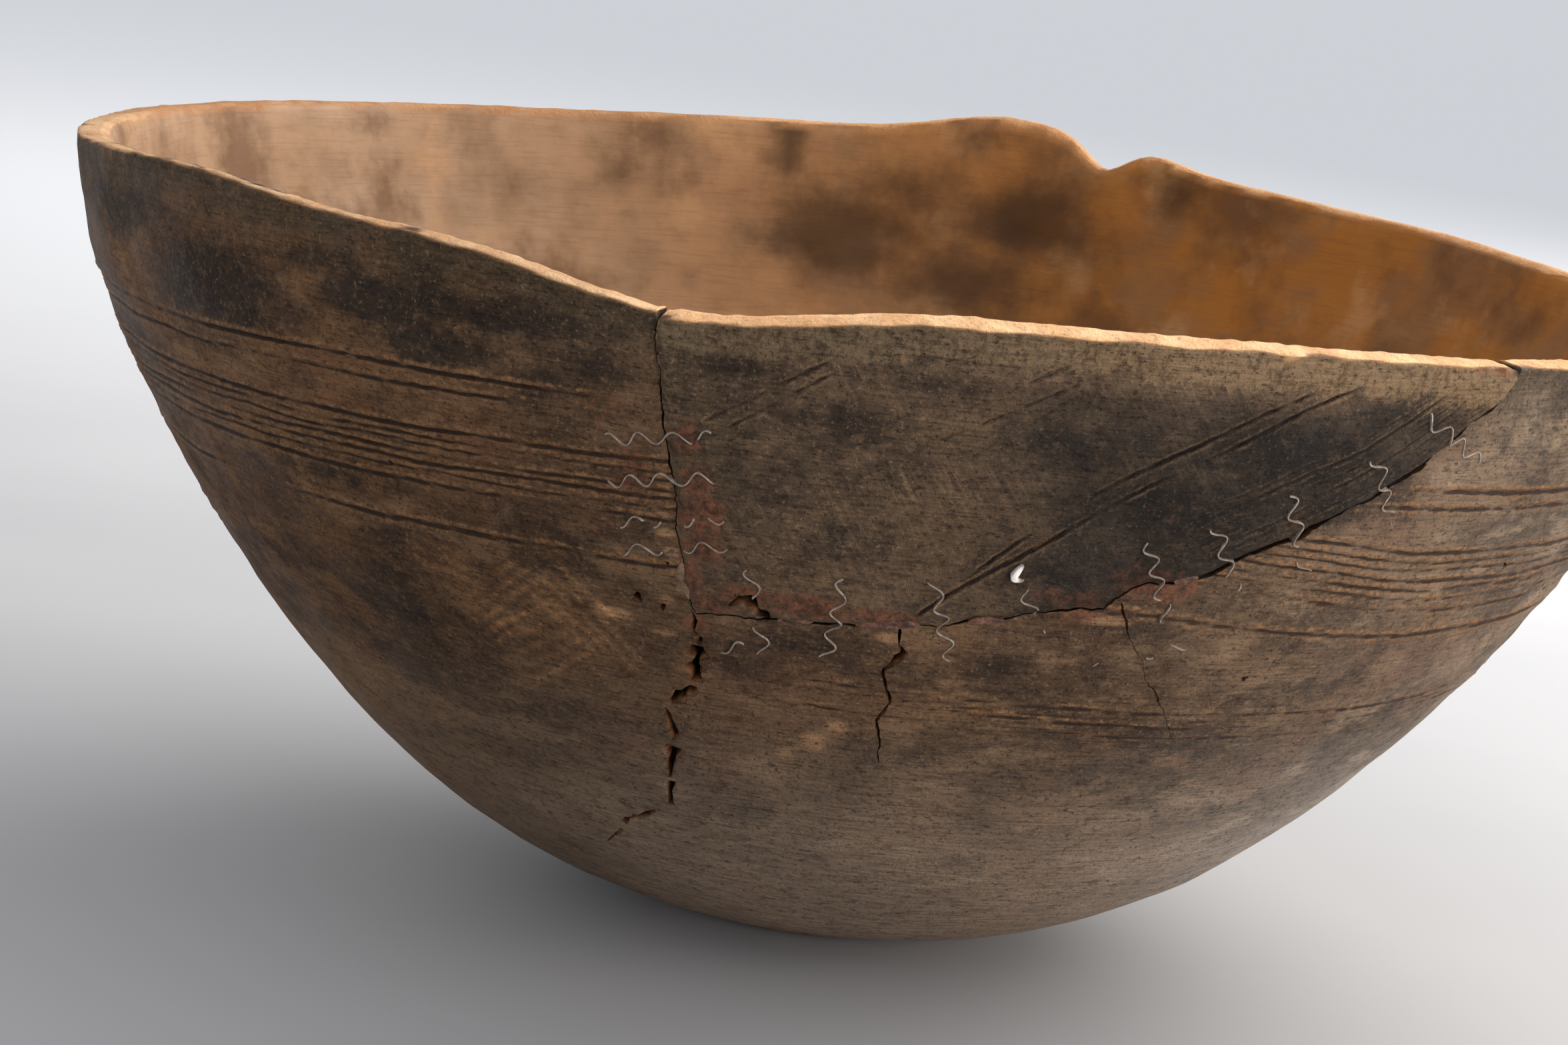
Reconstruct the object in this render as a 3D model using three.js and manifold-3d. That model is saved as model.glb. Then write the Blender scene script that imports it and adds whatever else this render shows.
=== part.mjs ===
// A hand-carved wooden bowl, mended at the rim: a broken-out piece was replaced by a carved patch,
// pinned across its seams with corrugated steel fasteners and sealed with putty and resin.
// Millimetres, +Z up, origin at the middle of the flat spot that the bowl rests on.
// A bearing is an angle around the bowl in degrees: 0 faces -Y, and it grows towards +X.
import * as THREE from 'three';
import { mergeVertices } from 'three/addons/utils/BufferGeometryUtils.js';
import Module from 'manifold-3d';

const wasm = await Module();
wasm.setup();

// Driving dimensions of the bowl.
const BELLY_RADIUS = 158;
const BELLY_HEIGHT = 148;
const BELLY_POWER_UP = 1.27;
const BELLY_POWER_OUT = 2.725;
const FLARE = 0.202;
const RIM_HEIGHT = 172;
const REST_RADIUS = 34;
const BASE_THICKNESS = 14;
const RIM_THICKNESS = 8;
const TURNS = 96;
const GAP = 0.3;
const WELD_WITHIN = 0.001;

// Driving dimensions of the steel fasteners, a stock 22 mm corrugated kind.
const FASTENER_LENGTH = 22.2;
const FASTENER_DEPTH = 6;
const FASTENER_PITCH = 6.35;
const FASTENER_WAVE = 1.2;
const FASTENER_GAUGE = 0.6;
const FASTENER_PROUD = 0.4;

const colours = {
  wood: new THREE.MeshStandardMaterial({ color: 0x6b4a33, roughness: 0.75, metalness: 0 }),
  patch: new THREE.MeshStandardMaterial({ color: 0x564232, roughness: 0.8, metalness: 0 }),
  steel: new THREE.MeshStandardMaterial({ color: 0x8b8780, roughness: 0.5, metalness: 0.9 }),
  putty: new THREE.MeshStandardMaterial({ color: 0x9a7a58, roughness: 0.9, metalness: 0 }),
  resin: new THREE.MeshStandardMaterial({ color: 0x6a3526, roughness: 0.6, metalness: 0 }),
};

const radians = THREE.MathUtils.degToRad;
const hump = (offset, spread) => Math.exp(-((offset / spread) ** 2));

// ---- the bowl's form ----

function outerRadius(height) {
  const up = 1 - Math.abs(1 - Math.min(height, BELLY_HEIGHT) / BELLY_HEIGHT) ** BELLY_POWER_UP;
  return BELLY_RADIUS * up ** (1 / BELLY_POWER_OUT) + FLARE * height;
}

// The hand-cut rim: where it swells or dips, over what angle, and by how much.
const rimSwells = [
  { bearing: -50, spread: 16, rise: 4 },
  { bearing: -11, spread: 10, rise: -7 },
  { bearing: 80, spread: 60, rise: -6 },
  { bearing: 172, spread: 34, rise: 4.5 },
  { bearing: 170.5, spread: 9, rise: 7 },
  { bearing: 157.5, spread: 4, rise: 2.5 },
  { bearing: 161.8, spread: 2.5, rise: -6.5 },
];

function turnBetween(from, to) {
  return ((to - from + 540) % 360) - 180;
}

function rimHeight(bearing) {
  const swells = rimSwells.map((s) => s.rise * hump(turnBetween(s.bearing, bearing), s.spread));
  return RIM_HEIGHT + swells.reduce((sum, swell) => sum + swell, 0);
}

// The carved rings, from the lowest up. Each one leans to a side, waves along the mended front
// and droops to the right of the patch.
const rings = [
  { height: 110.6, lean: 3.5, wave: 1.3, droop: -7.5 },
  { height: 119.5, lean: 2.8, wave: 2.7, droop: -10 },
  { height: 131.8, lean: 2.8, wave: 2.7, droop: -8 },
  { height: 137, lean: -3.5, wave: 4.3, droop: 0 },
  { height: 140.9, lean: -3.5, wave: 4.3, droop: 0 },
];
const RING_DEPTH = 0.8;
const RING_WIDTH = 2;
const RING_FRONT = 80;
// The droop grows over the first pair of bearings and is gone by the end of the second.
const DROOP_GROWS = [8, 46];
const DROOP_FADES = [60, 150];
const LEVEL_BELOW = { height: 85, lean: 0, wave: 0, droop: 0 };
const LEVEL_ABOVE = { height: 158, lean: 0, wave: 0, droop: 0 };

function ringShift({ lean, wave, droop }, bearing) {
  const turn = radians(bearing);
  const waving = (lean * Math.sin(turn) + wave * Math.cos(2 * turn)) * hump(bearing, RING_FRONT);
  const { smoothstep } = THREE.MathUtils;
  return waving + droop * smoothstep(bearing, ...DROOP_GROWS) * (1 - smoothstep(bearing, ...DROOP_FADES));
}

// How far the wood at a height is raised to follow the rings above and below it.
function wander(bearing, height) {
  const levels = [LEVEL_BELOW, ...rings, LEVEL_ABOVE];
  const next = levels.findIndex((level) => level.height >= height);
  if (next <= 0) return 0;
  const [lower, upper] = [levels[next - 1], levels[next]];
  const share = (height - lower.height) / (upper.height - lower.height);
  return THREE.MathUtils.lerp(ringShift(lower, bearing), ringShift(upper, bearing), share);
}

function outerNormal(height) {
  const step = 0.5;
  const slope = (outerRadius(height + step) - outerRadius(height - step)) / (2 * step);
  return new THREE.Vector2(1, -slope).normalize();
}

function wallThickness(height) {
  return THREE.MathUtils.lerp(BASE_THICKNESS, RIM_THICKNESS, Math.min(height / RIM_HEIGHT, 1));
}

// Heights where the outside is drawn between the rings, closer together where it curves more.
const OUTER_HEIGHTS = [4, 8, 14, 22, 32, 44, 58, 72, 86, 98, 125.6, 147, 155, 163];
const INNER_STEPS = 13;
const INNER_TOP = RIM_HEIGHT - 4;
const INNER_CROWDING = 1.6;
const RIM_OUTER_ROUND = 3;
const RIM_INNER_ROUND = 1;
const HALF_TURN_SHARE = 1 - Math.SQRT1_2;

function outerProfile() {
  const plain = OUTER_HEIGHTS.map((z) => new THREE.Vector2(outerRadius(z), z));
  const grooves = rings.flatMap(({ height: z }) => [
    new THREE.Vector2(outerRadius(z - RING_WIDTH / 2), z - RING_WIDTH / 2),
    new THREE.Vector2(outerRadius(z) - RING_DEPTH, z),
    new THREE.Vector2(outerRadius(z + RING_WIDTH / 2), z + RING_WIDTH / 2),
  ]);
  return [...plain, ...grooves].sort((a, b) => a.y - b.y);
}

function innerProfile() {
  const points = [];
  for (let i = 0; i < INNER_STEPS; i += 1) {
    const height = INNER_TOP * (1 - i / INNER_STEPS) ** INNER_CROWDING;
    const inward = outerNormal(height).multiplyScalar(-wallThickness(height));
    points.push(new THREE.Vector2(outerRadius(height), height).add(inward));
  }
  return points;
}

function bowlProfile() {
  const edge = outerRadius(RIM_HEIGHT);
  const roundPoint = RIM_OUTER_ROUND * HALF_TURN_SHARE;
  return [
    new THREE.Vector2(0, 0),
    new THREE.Vector2(REST_RADIUS, 0),
    ...outerProfile(),
    new THREE.Vector2(edge, RIM_HEIGHT - RIM_OUTER_ROUND),
    new THREE.Vector2(edge - roundPoint, RIM_HEIGHT - roundPoint),
    new THREE.Vector2(edge - RIM_OUTER_ROUND, RIM_HEIGHT),
    new THREE.Vector2(edge - RIM_THICKNESS + RIM_INNER_ROUND, RIM_HEIGHT),
    new THREE.Vector2(edge - RIM_THICKNESS, RIM_HEIGHT - RIM_INNER_ROUND),
    ...innerProfile(),
    new THREE.Vector2(0, BASE_THICKNESS),
  ];
}

// Lifts the turned form to the uneven rim, and lets the rings wander.
function bendToRim(geometry) {
  const spots = geometry.attributes.position;
  for (let i = 0; i < spots.count; i += 1) {
    const spot = new THREE.Vector3().fromBufferAttribute(spots, i);
    const radius = Math.hypot(spot.x, spot.y);
    if (spot.z < LEVEL_BELOW.height) continue;
    const bearing = THREE.MathUtils.radToDeg(Math.atan2(spot.x, -spot.y));
    const share = Math.max(0, (spot.z - BELLY_HEIGHT) / (RIM_HEIGHT - BELLY_HEIGHT));
    const lift = (rimHeight(bearing) - RIM_HEIGHT) * share + wander(bearing, spot.z);
    const height = spot.z + lift;
    const bent = radius + outerRadius(height) - outerRadius(spot.z);
    spots.setXYZ(i, (spot.x / radius) * bent, (spot.y / radius) * bent, height);
  }
  return geometry;
}

// ---- solids ----

function solidOf(geometry) {
  const bare = geometry.clone();
  bare.deleteAttribute('normal');
  bare.deleteAttribute('uv');
  const merged = mergeVertices(bare, WELD_WITHIN);
  const corners = merged.index.array;
  const faces = [];
  for (let i = 0; i < corners.length; i += 3) {
    const [a, b, c] = corners.slice(i, i + 3);
    if (a !== b && b !== c && c !== a) faces.push(a, b, c);
  }
  return new wasm.Manifold(new wasm.Mesh({
    numProp: 3,
    vertProperties: new Float32Array(merged.attributes.position.array),
    triVerts: new Uint32Array(faces),
  }));
}

function meshOf(name, solid, material) {
  const result = solid.getMesh();
  const geometry = new THREE.BufferGeometry();
  geometry.setAttribute('position', new THREE.BufferAttribute(result.vertProperties, 3));
  geometry.setIndex(new THREE.BufferAttribute(result.triVerts, 1));
  geometry.computeVertexNormals();
  const mesh = new THREE.Mesh(geometry, material.clone());
  mesh.name = name;
  return mesh;
}

function turnedBowl() {
  const geometry = new THREE.LatheGeometry(bowlProfile(), TURNS);
  geometry.rotateX(Math.PI / 2);
  return solidOf(bendToRim(geometry));
}

// Wraps a flat outline of [bearing, height] points around the bowl. It reaches from a depth under
// the bowl's skin to a distance above it; the depth may differ from point to point.
function wrappedCutter(outline, depthAt, above) {
  const shape = new THREE.Shape(outline.map(([bearing, height]) => new THREE.Vector2(bearing, height)));
  const geometry = new THREE.ExtrudeGeometry(shape, { depth: 1, bevelEnabled: false });
  const spots = geometry.attributes.position;
  for (let i = 0; i < spots.count; i += 1) {
    const turn = radians(spots.getX(i));
    const height = spots.getY(i);
    const skin = outerRadius(Math.min(height, RIM_HEIGHT));
    const radius = skin + (spots.getZ(i) > 0.5 ? above : -depthAt(height));
    spots.setXYZ(i, radius * Math.sin(turn), -radius * Math.cos(turn), height);
  }
  return solidOf(geometry);
}

// Sharp corners are drawn out no further than this share allows.
const LEAST_MITER = 0.4;

// Moves each side of an outline outwards by a distance, which may be negative. The outline runs
// anticlockwise.
function growOutline(outline, distance) {
  const flat = outline.map(([bearing, height]) => {
    const arc = radians(bearing) * BELLY_RADIUS;
    return new THREE.Vector2(arc, height);
  });
  return flat.map((point, i) => {
    const before = flat[(i + flat.length - 1) % flat.length];
    const after = flat[(i + 1) % flat.length];
    const into = point.clone().sub(before).normalize();
    const away = after.clone().sub(point).normalize();
    const miter = new THREE.Vector2(into.y + away.y, -into.x - away.x).normalize();
    const reach = distance / Math.max(miter.dot(new THREE.Vector2(into.y, -into.x)), LEAST_MITER);
    const moved = point.clone().addScaledVector(miter, reach);
    return [THREE.MathUtils.radToDeg(moved.x / BELLY_RADIUS), moved.y];
  });
}

// ---- the patch and the cracks ----

const ABOVE_RIM = 200;

// The patch's seams, from the rim down the left seam, along the lower seam and up the diagonal.
const patchOutline = [
  [-12.9, ABOVE_RIM], [-12.9, 160], [-12.3, 144], [-11.7, 128], [-11.4, 108], [-10.6, 101.6],
  [-5.5, 102.4], [-0.9, 103.1], [5, 105.1], [10.3, 107.8], [14.7, 111.2], [17.4, 112.2],
  [18.8, 117], [23.1, 120.2], [25.1, 124.5], [28.3, 130], [32.9, 139], [36, 146.5],
  [38.9, 155.2], [41.2, 160.5], [42.3, 167], [42.3, ABOVE_RIM],
];
const THROUGH_WALL = 40;
const BEYOND_SKIN = 40;

// Each crack is a run of [bearing, height, width, depth] from its mouth to its end.
const cracks = {
  left: [
    [-10.7, 102.6, 0.8, 9], [-10.5, 95.5, 1.2, 9], [-10.5, 92.5, 3.2, 9], [-10.9, 87, 3.2, 9],
    [-11.1, 84.5, 1.2, 7], [-12.6, 80.5, 1.4, 6], [-13.5, 73.4, 1.8, 6], [-13.9, 65, 1.4, 6],
    [-15.2, 55, 1.8, 6], [-17.6, 47.5, 1.2, 6], [-22, 41, 0.8, 5], [-25.4, 35, 0.3, 4],
  ],
  middle: [
    [3.6, 102, 0.8, 5], [4, 97, 1.4, 5], [3.4, 92, 0.9, 4], [4, 86.6, 0.9, 4],
    [3.8, 80, 0.6, 3], [4.4, 70, 0.3, 2],
  ],
  right: [
    [18.4, 112.6, 1, 4], [20.1, 105, 0.9, 4], [21.6, 99.5, 0.8, 4], [23.9, 91.6, 0.7, 4],
    [28.7, 78.7, 0.6, 4], [32.3, 71.7, 0.5, 3], [38.7, 63.7, 0.3, 3],
  ],
};

const CRACK_CUT_ABOVE = 3;

function crackCutter(run) {
  const side = (sign) => run.map(([bearing, height, width]) => {
    const across = THREE.MathUtils.radToDeg(width / 2 / outerRadius(height));
    return [bearing + sign * across, height];
  });
  const depthAt = (height) => {
    const next = run.findIndex((point) => point[1] <= height);
    if (next <= 0) return run[0][3];
    const [upper, lower] = [run[next - 1], run[next]];
    const share = (upper[1] - height) / (upper[1] - lower[1]);
    return THREE.MathUtils.lerp(upper[3], lower[3], share);
  };
  return wrappedCutter([...side(-1), ...side(1).reverse()], depthAt, CRACK_CUT_ABOVE);
}

// ---- the fasteners ----

// Where each fastener sits: its middle's bearing and height, and its slope from level.
const fasteners = {
  fastener_left_1: [-12.6, 138.7, 12],
  fastener_left_2: [-12.6, 130, 12],
  fastener_left_3: [-12, 121.6, 13],
  fastener_left_4: [-11.9, 115.6, 13],
  fastener_lower_1: [-6.2, 103.8, -82],
  fastener_lower_2: [-0.8, 104.6, -95],
  fastener_lower_3: [6.5, 106.1, -73],
  fastener_lower_4: [12.1, 111.5, -65],
  fastener_diagonal_1: [20.3, 118.6, -62],
  fastener_diagonal_2: [24.7, 123.3, -57],
  fastener_diagonal_3: [28.8, 130.7, -58],
  fastener_diagonal_4: [34.1, 140, -52],
  fastener_diagonal_5: [38.2, 151.6, -26],
  fastener_crack_left: [-10.9, 93.3, 14],
  fastener_crack_right: [20.9, 100.4, 26],
};

const CREST_SHARE = 0.1;

// A strip bent into waves with flattened crests, thickened by a clearance all round.
function waveOutline(clearance) {
  const crests = Math.round((2 * FASTENER_LENGTH) / FASTENER_PITCH);
  const start = -FASTENER_LENGTH / 2;
  const crestHalf = FASTENER_PITCH * CREST_SHARE;
  const centre = [];
  for (let i = 0; i <= crests; i += 1) {
    const swing = i % 2 ? -FASTENER_WAVE : FASTENER_WAVE;
    const along = start + (i / crests) * FASTENER_LENGTH;
    if (i > 0) centre.push(new THREE.Vector2(along - crestHalf, swing));
    if (i < crests) centre.push(new THREE.Vector2(along + crestHalf, swing));
  }
  centre[0].x -= clearance + crestHalf;
  centre[centre.length - 1].x += clearance + crestHalf;
  const half = FASTENER_GAUGE / 2 + clearance;
  const side = (sign) => centre.map((point, i) => {
    const before = centre[Math.max(i - 1, 0)];
    const after = centre[Math.min(i + 1, centre.length - 1)];
    const into = point.clone().sub(before).normalize();
    const away = after.clone().sub(point).normalize();
    const along = into.clone().add(away).normalize();
    const solo = i === 0 ? away : into;
    const spread = half / Math.max(Math.abs(along.dot(solo)), LEAST_MITER);
    return new THREE.Vector2(point.x - along.y * spread * sign, point.y + along.x * spread * sign);
  });
  return [...side(-1), ...side(1).reverse()];
}

function placeOnSkin(geometry, [bearing, height, slope]) {
  const turn = radians(bearing);
  const normal = outerNormal(height);
  const east = new THREE.Vector3(Math.cos(turn), Math.sin(turn), 0);
  const out = new THREE.Vector3(normal.x * Math.sin(turn), -normal.x * Math.cos(turn), normal.y);
  const up = out.clone().cross(east);
  const along = east.clone().applyAxisAngle(out, radians(slope));
  const frame = new THREE.Matrix4().makeBasis(along, out.clone().cross(along), out);
  const skin = outerRadius(height);
  frame.setPosition(skin * Math.sin(turn), -skin * Math.cos(turn), height);
  return geometry.applyMatrix4(frame);
}

function fastenerSolid(place, clearance, above) {
  const depth = FASTENER_DEPTH + clearance + above;
  const shape = new THREE.Shape(waveOutline(clearance));
  const strip = new THREE.ExtrudeGeometry(shape, { depth, bevelEnabled: false });
  strip.translate(0, 0, -FASTENER_DEPTH - clearance);
  return solidOf(placeOnSkin(strip, place));
}

// ---- putty and resin in the seams ----

const FILLER_DEPTH = 3;
const FILLER_PROUD = 0.4;

// Each filler is a run of [bearing, height] along the middle of its seam, and its width.
const fillers = {
  putty_left: { material: 'putty', width: 2.4, run: [[-11.4, 112.6], [-11.4, 108], [-11, 104.4]] },
  resin_lower_1: { material: 'resin', width: 2, run: [[-4.8, 102.5], [-3.5, 102.7], [-2.3, 102.9]] },
  resin_lower_2: { material: 'resin', width: 2, run: [[0.6, 103.6], [3, 104.4], [5, 105.1]] },
  resin_lower_3: { material: 'resin', width: 1.8, run: [[8.2, 106.7], [9.4, 107.3], [10.6, 108]] },
  resin_diagonal: { material: 'resin', width: 2, run: [[21.4, 119], [22.3, 119.6], [23, 120.2]] },
};

function fillerOutline({ run, width }) {
  const side = (sign) => run.map(([bearing, height], i) => {
    const [fromBearing, fromHeight] = run[Math.max(i - 1, 0)];
    const [toBearing, toHeight] = run[Math.min(i + 1, run.length - 1)];
    const perDegree = radians(1) * outerRadius(height);
    const along = new THREE.Vector2((toBearing - fromBearing) * perDegree, toHeight - fromHeight);
    along.normalize().multiplyScalar((sign * width) / 2);
    return [bearing - along.y / perDegree, height + along.x];
  });
  return [...side(-1), ...side(1).reverse()];
}

// ---- the assembly ----

const SLOT_CUT_ABOVE = 4;
const wall = turnedBowl();
const through = () => THROUGH_WALL;
const patchBlock = wrappedCutter(growOutline(patchOutline, -GAP / 2), through, BEYOND_SKIN);
const patchHole = wrappedCutter(growOutline(patchOutline, GAP / 2), through, BEYOND_SKIN);
const fastenerSlots = Object.values(fasteners).map((place) => fastenerSolid(place, GAP, SLOT_CUT_ABOVE));
const fillerSlots = Object.values(fillers).map((filler) => {
  const mouth = growOutline(fillerOutline(filler), GAP);
  return wrappedCutter(mouth, () => FILLER_DEPTH + GAP, SLOT_CUT_ABOVE);
});
const crackCutters = Object.values(cracks).map(crackCutter);

const cutAll = (solid, cutters) => cutters.reduce((rest, cutter) => rest.subtract(cutter), solid);
const slots = [...fastenerSlots, ...fillerSlots];

const bowl = new THREE.Group();
bowl.name = 'carved_wooden_bowl';
const bodySolid = cutAll(wall.subtract(patchHole), [...crackCutters, ...slots]);
bowl.add(meshOf('bowl_body', bodySolid, colours.wood));
bowl.add(meshOf('rim_patch', cutAll(wall.intersect(patchBlock), slots), colours.patch));

for (const [name, place] of Object.entries(fasteners)) {
  bowl.add(meshOf(name, fastenerSolid(place, 0, FASTENER_PROUD), colours.steel));
}
for (const [name, filler] of Object.entries(fillers)) {
  const bead = wrappedCutter(fillerOutline(filler), () => FILLER_DEPTH, FILLER_PROUD);
  bowl.add(meshOf(name, bead, colours[filler.material]));
}

export default bowl;
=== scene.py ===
"""The looks of the mended wooden bowl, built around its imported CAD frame.

Sizes are in millimetres until a mesh is made. A bearing is an angle around the bowl in degrees:
0 faces the mended front (-Y), and it grows towards +X. A height is above the resting face.
"""
import math

import bpy
import numpy as np
from mathutils import Matrix, Vector
from mathutils.geometry import tessellate_polygon


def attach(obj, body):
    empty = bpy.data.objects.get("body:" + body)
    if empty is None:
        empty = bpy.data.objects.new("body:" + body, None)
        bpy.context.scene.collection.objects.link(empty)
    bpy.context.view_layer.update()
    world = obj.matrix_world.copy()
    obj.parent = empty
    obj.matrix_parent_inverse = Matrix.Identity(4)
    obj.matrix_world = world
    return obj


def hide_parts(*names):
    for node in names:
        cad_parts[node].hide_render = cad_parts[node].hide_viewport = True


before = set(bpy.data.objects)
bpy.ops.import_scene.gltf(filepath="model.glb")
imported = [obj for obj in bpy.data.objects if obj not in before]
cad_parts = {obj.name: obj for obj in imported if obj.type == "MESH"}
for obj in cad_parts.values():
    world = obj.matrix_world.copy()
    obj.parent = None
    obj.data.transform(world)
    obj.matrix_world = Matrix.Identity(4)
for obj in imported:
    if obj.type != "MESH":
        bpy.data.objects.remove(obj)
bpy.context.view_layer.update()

MM = 0.001

# ---- the bowl's form, as in the CAD ----

BELLY_RADIUS = 158
BELLY_HEIGHT = 148
BELLY_POWER_UP = 1.27
BELLY_POWER_OUT = 2.725
FLARE = 0.202
RIM_HEIGHT = 172
REST_RADIUS = 34
BASE_THICKNESS = 14
RIM_THICKNESS = 8
SEAM_GAP = 0.3

# Bearing, spread in degrees, and rise of each swell or dip of the rim.
RIM_SWELLS = ((-50, 16, 4), (-11, 10, -7), (80, 60, -6), (172, 34, 4.5), (170.5, 9, 7),
              (157.5, 4, 2.5), (161.8, 2.5, -6.5))
# Distances along the front are measured as arcs of this radius.
ARC_RADIUS = 182


def arc_of(bearing):
    return np.radians(bearing) * ARC_RADIUS


def hump(offset, spread):
    return np.exp(-(np.asarray(offset, float) / spread) ** 2)


def turn_between(start, end):
    return (np.asarray(end, float) - start + 540) % 360 - 180


def ease(value, low, high):
    """A smooth step from 0 at low to 1 at high; low may be the larger of the two."""
    share = np.clip((np.asarray(value, float) - low) / (high - low), 0, 1)
    return share * share * (3 - 2 * share)


def outer_radius(height):
    clipped = np.clip(height, 0, BELLY_HEIGHT)
    up = 1 - np.abs(1 - clipped / BELLY_HEIGHT) ** BELLY_POWER_UP
    return BELLY_RADIUS * up ** (1 / BELLY_POWER_OUT) + FLARE * height


def rim_height(bearing):
    swells = (rise * hump(turn_between(at, bearing), spread) for at, spread, rise in RIM_SWELLS)
    ragged = 0.3 * field(round_point(bearing, ARC_RADIUS, RIM_HEIGHT), 32, 23)
    return RIM_HEIGHT + sum(swells) + ragged


def wall_thickness(height):
    share = np.clip(np.asarray(height, float) / RIM_HEIGHT, 0, 1)
    return BASE_THICKNESS + (RIM_THICKNESS - BASE_THICKNESS) * share


def skin_normal(height):
    """The outward and upward parts of the skin's normal."""
    step = 0.5
    slope = (outer_radius(height + step) - outer_radius(height - step)) / (2 * step)
    length = np.sqrt(1 + slope ** 2)
    return 1 / length, -slope / length


def skin_point(bearing, height, proud):
    """Points at a distance proud of the skin; arrays are broadcast together."""
    outward, upward = skin_normal(height)
    radius = outer_radius(height) + outward * proud
    return round_point(bearing, radius, height + upward * proud)


def round_point(bearing, radius, height):
    turn = np.radians(bearing)
    x, y, z = np.broadcast_arrays(radius * np.sin(turn), -radius * np.cos(turn), height)
    return np.stack([x, y, z], axis=-1)


def field(points, size, seed, waves=22):
    """A smooth random field of about -1 to 1, with lumps of about a size, the same on each run."""
    rng = np.random.default_rng(seed)
    directions = rng.normal(size=(waves, 3))
    directions /= np.linalg.norm(directions, axis=1)[:, None]
    lengths = size * rng.uniform(1.4, 3.2, waves)
    phases = rng.uniform(0, 2 * math.pi, waves)
    angles = points @ (directions * (2 * math.pi / lengths[:, None])).T + phases
    return np.cos(angles).sum(axis=-1) * math.sqrt(1.0 / waves)


# ---- carved relief ----

# Each carved ring: height, lean to a side, wave along the front, droop on the right, width, depth.
TOP_PAIR = ((140.9, -3.5, 4.3, 0, 0.5, 0.6), (137.2, -3.5, 4.3, 0, 0.45, 0.5))
FINE_BAND = tuple((height, 2.8, 2.7, -8 - 0.17 * (131.8 - height), width, depth) for height, width, depth in (
    (131.8, 0.46, 0.55), (129.8, 0.36, 0.4), (128.1, 0.34, 0.34), (126.0, 0.4, 0.46),
    (124.1, 0.42, 0.42), (122.1, 0.36, 0.36), (119.6, 0.48, 0.5)))
SINGLE_RING = ((110.6, 3.5, 1.3, -7.5, 0.5, 0.5), (108.3, 3.5, 1.3, -7.5, 0.35, 0.15))
LOW_BAND = ((88.9, -6, 0, 0, 0.42, 0.42), (87.2, -6, 0, 0, 0.3, 0.26), (85.6, -6, 0, 0, 0.36, 0.38),
            (82.9, -6, 0, 0, 0.36, 0.3))
ALL_RINGS = TOP_PAIR + FINE_BAND + SINGLE_RING + LOW_BAND
# The rings lean, wave and droop around the front only: spread in degrees, and bearings of the droop.
RING_FRONT = 80
DROOP_GROWS = (8, 46)
DROOP_FADES = (150, 60)
# The top pair is worn faint near this bearing, and the low band is nearly gone between two others.
FAINT_AT = -13
GONE_RIGHT_OF = (-75, -60)
GONE_LEFT_OF = (-1.5, -3.5)
# How high a ring's raised side stands for its depth, and how pale it is on the low rings.
RING_LIP = 0.55
LOW_LIP = 0.6
# How many widths beside a cut its raised side lies, and how deep a cut must be for its grime and painted
# shade to be full.
BURR_AWAY = 2.1
DARK_DEPTH = 0.45


def ring_height(ring, bearing):
    height, lean, wave, droop = ring[:4]
    turn = turn_between(0, bearing)
    shift = lean * np.sin(np.radians(turn)) + wave * np.cos(2 * np.radians(turn))
    drooping = ease(turn, *DROOP_GROWS) * ease(turn, *DROOP_FADES)
    return height + shift * hump(turn, RING_FRONT) + droop * drooping


def ring_strength(index, bearing, points):
    """How strongly a ring is cut along its way: worn faint here and there."""
    worn = 0.8 + 0.35 * field(points * (1, 1, 0.3), 22, 40 + index) + 0.25 * field(points, 2.6, 60 + index)
    if ALL_RINGS[index] in TOP_PAIR:
        worn = worn * (1 - 0.75 * hump(turn_between(FAINT_AT, bearing), 6))
    if ALL_RINGS[index] in LOW_BAND:
        worn = worn * (1 - 0.9 * ease(bearing, *GONE_LEFT_OF) * ease(bearing, *GONE_RIGHT_OF))
    return np.clip(worn, 0, 1.2)


def carve_rings(bearing, height, points):
    """Relief, groove darkness from grime and painted shade, and pale lip of all the carved rings."""
    relief = np.zeros(np.broadcast(bearing, height).shape)
    groove = relief.copy()
    lip = relief.copy()
    for index, ring in enumerate(ALL_RINGS):
        width, depth = ring[4:]
        wobble = 0.22 * field(points * (1, 1, 0), 16, 70 + index) + 0.1 * field(points, 1.8, 71 + index)
        offset = height - ring_height(ring, bearing) - wobble
        strength = ring_strength(index, bearing, points)
        cut = hump(offset, width) * strength
        burr = hump(offset - BURR_AWAY * width, width) * strength
        relief += depth * (RING_LIP * burr - cut)
        plain = min(1, depth / DARK_DEPTH)
        groove = np.maximum(groove, cut * plain)
        pale = plain * (LOW_LIP if ring in LOW_BAND else 1)
        lip = np.maximum(lip, pale * burr)
        # A fainter pale strip lies to both sides of the cut.
        lip = np.maximum(lip, pale * 0.5 * hump(offset, 3.6 * width) * strength)
    return relief, groove, lip


# Groups of scratched hatching: middle bearing and height, half length, half width, slope, spacing.
HATCHES = ((-30, 102, 11, 5, -12, 2.7), (-25, 97, 14, 8, 35, 2.6), (-20, 98, 13, 9, -42, 2.9),
           (-24, 87, 14, 8, 30, 3.1), (-18, 88, 9, 8, -48, 2.8))
HATCH_WIDTH = 0.7


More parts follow.
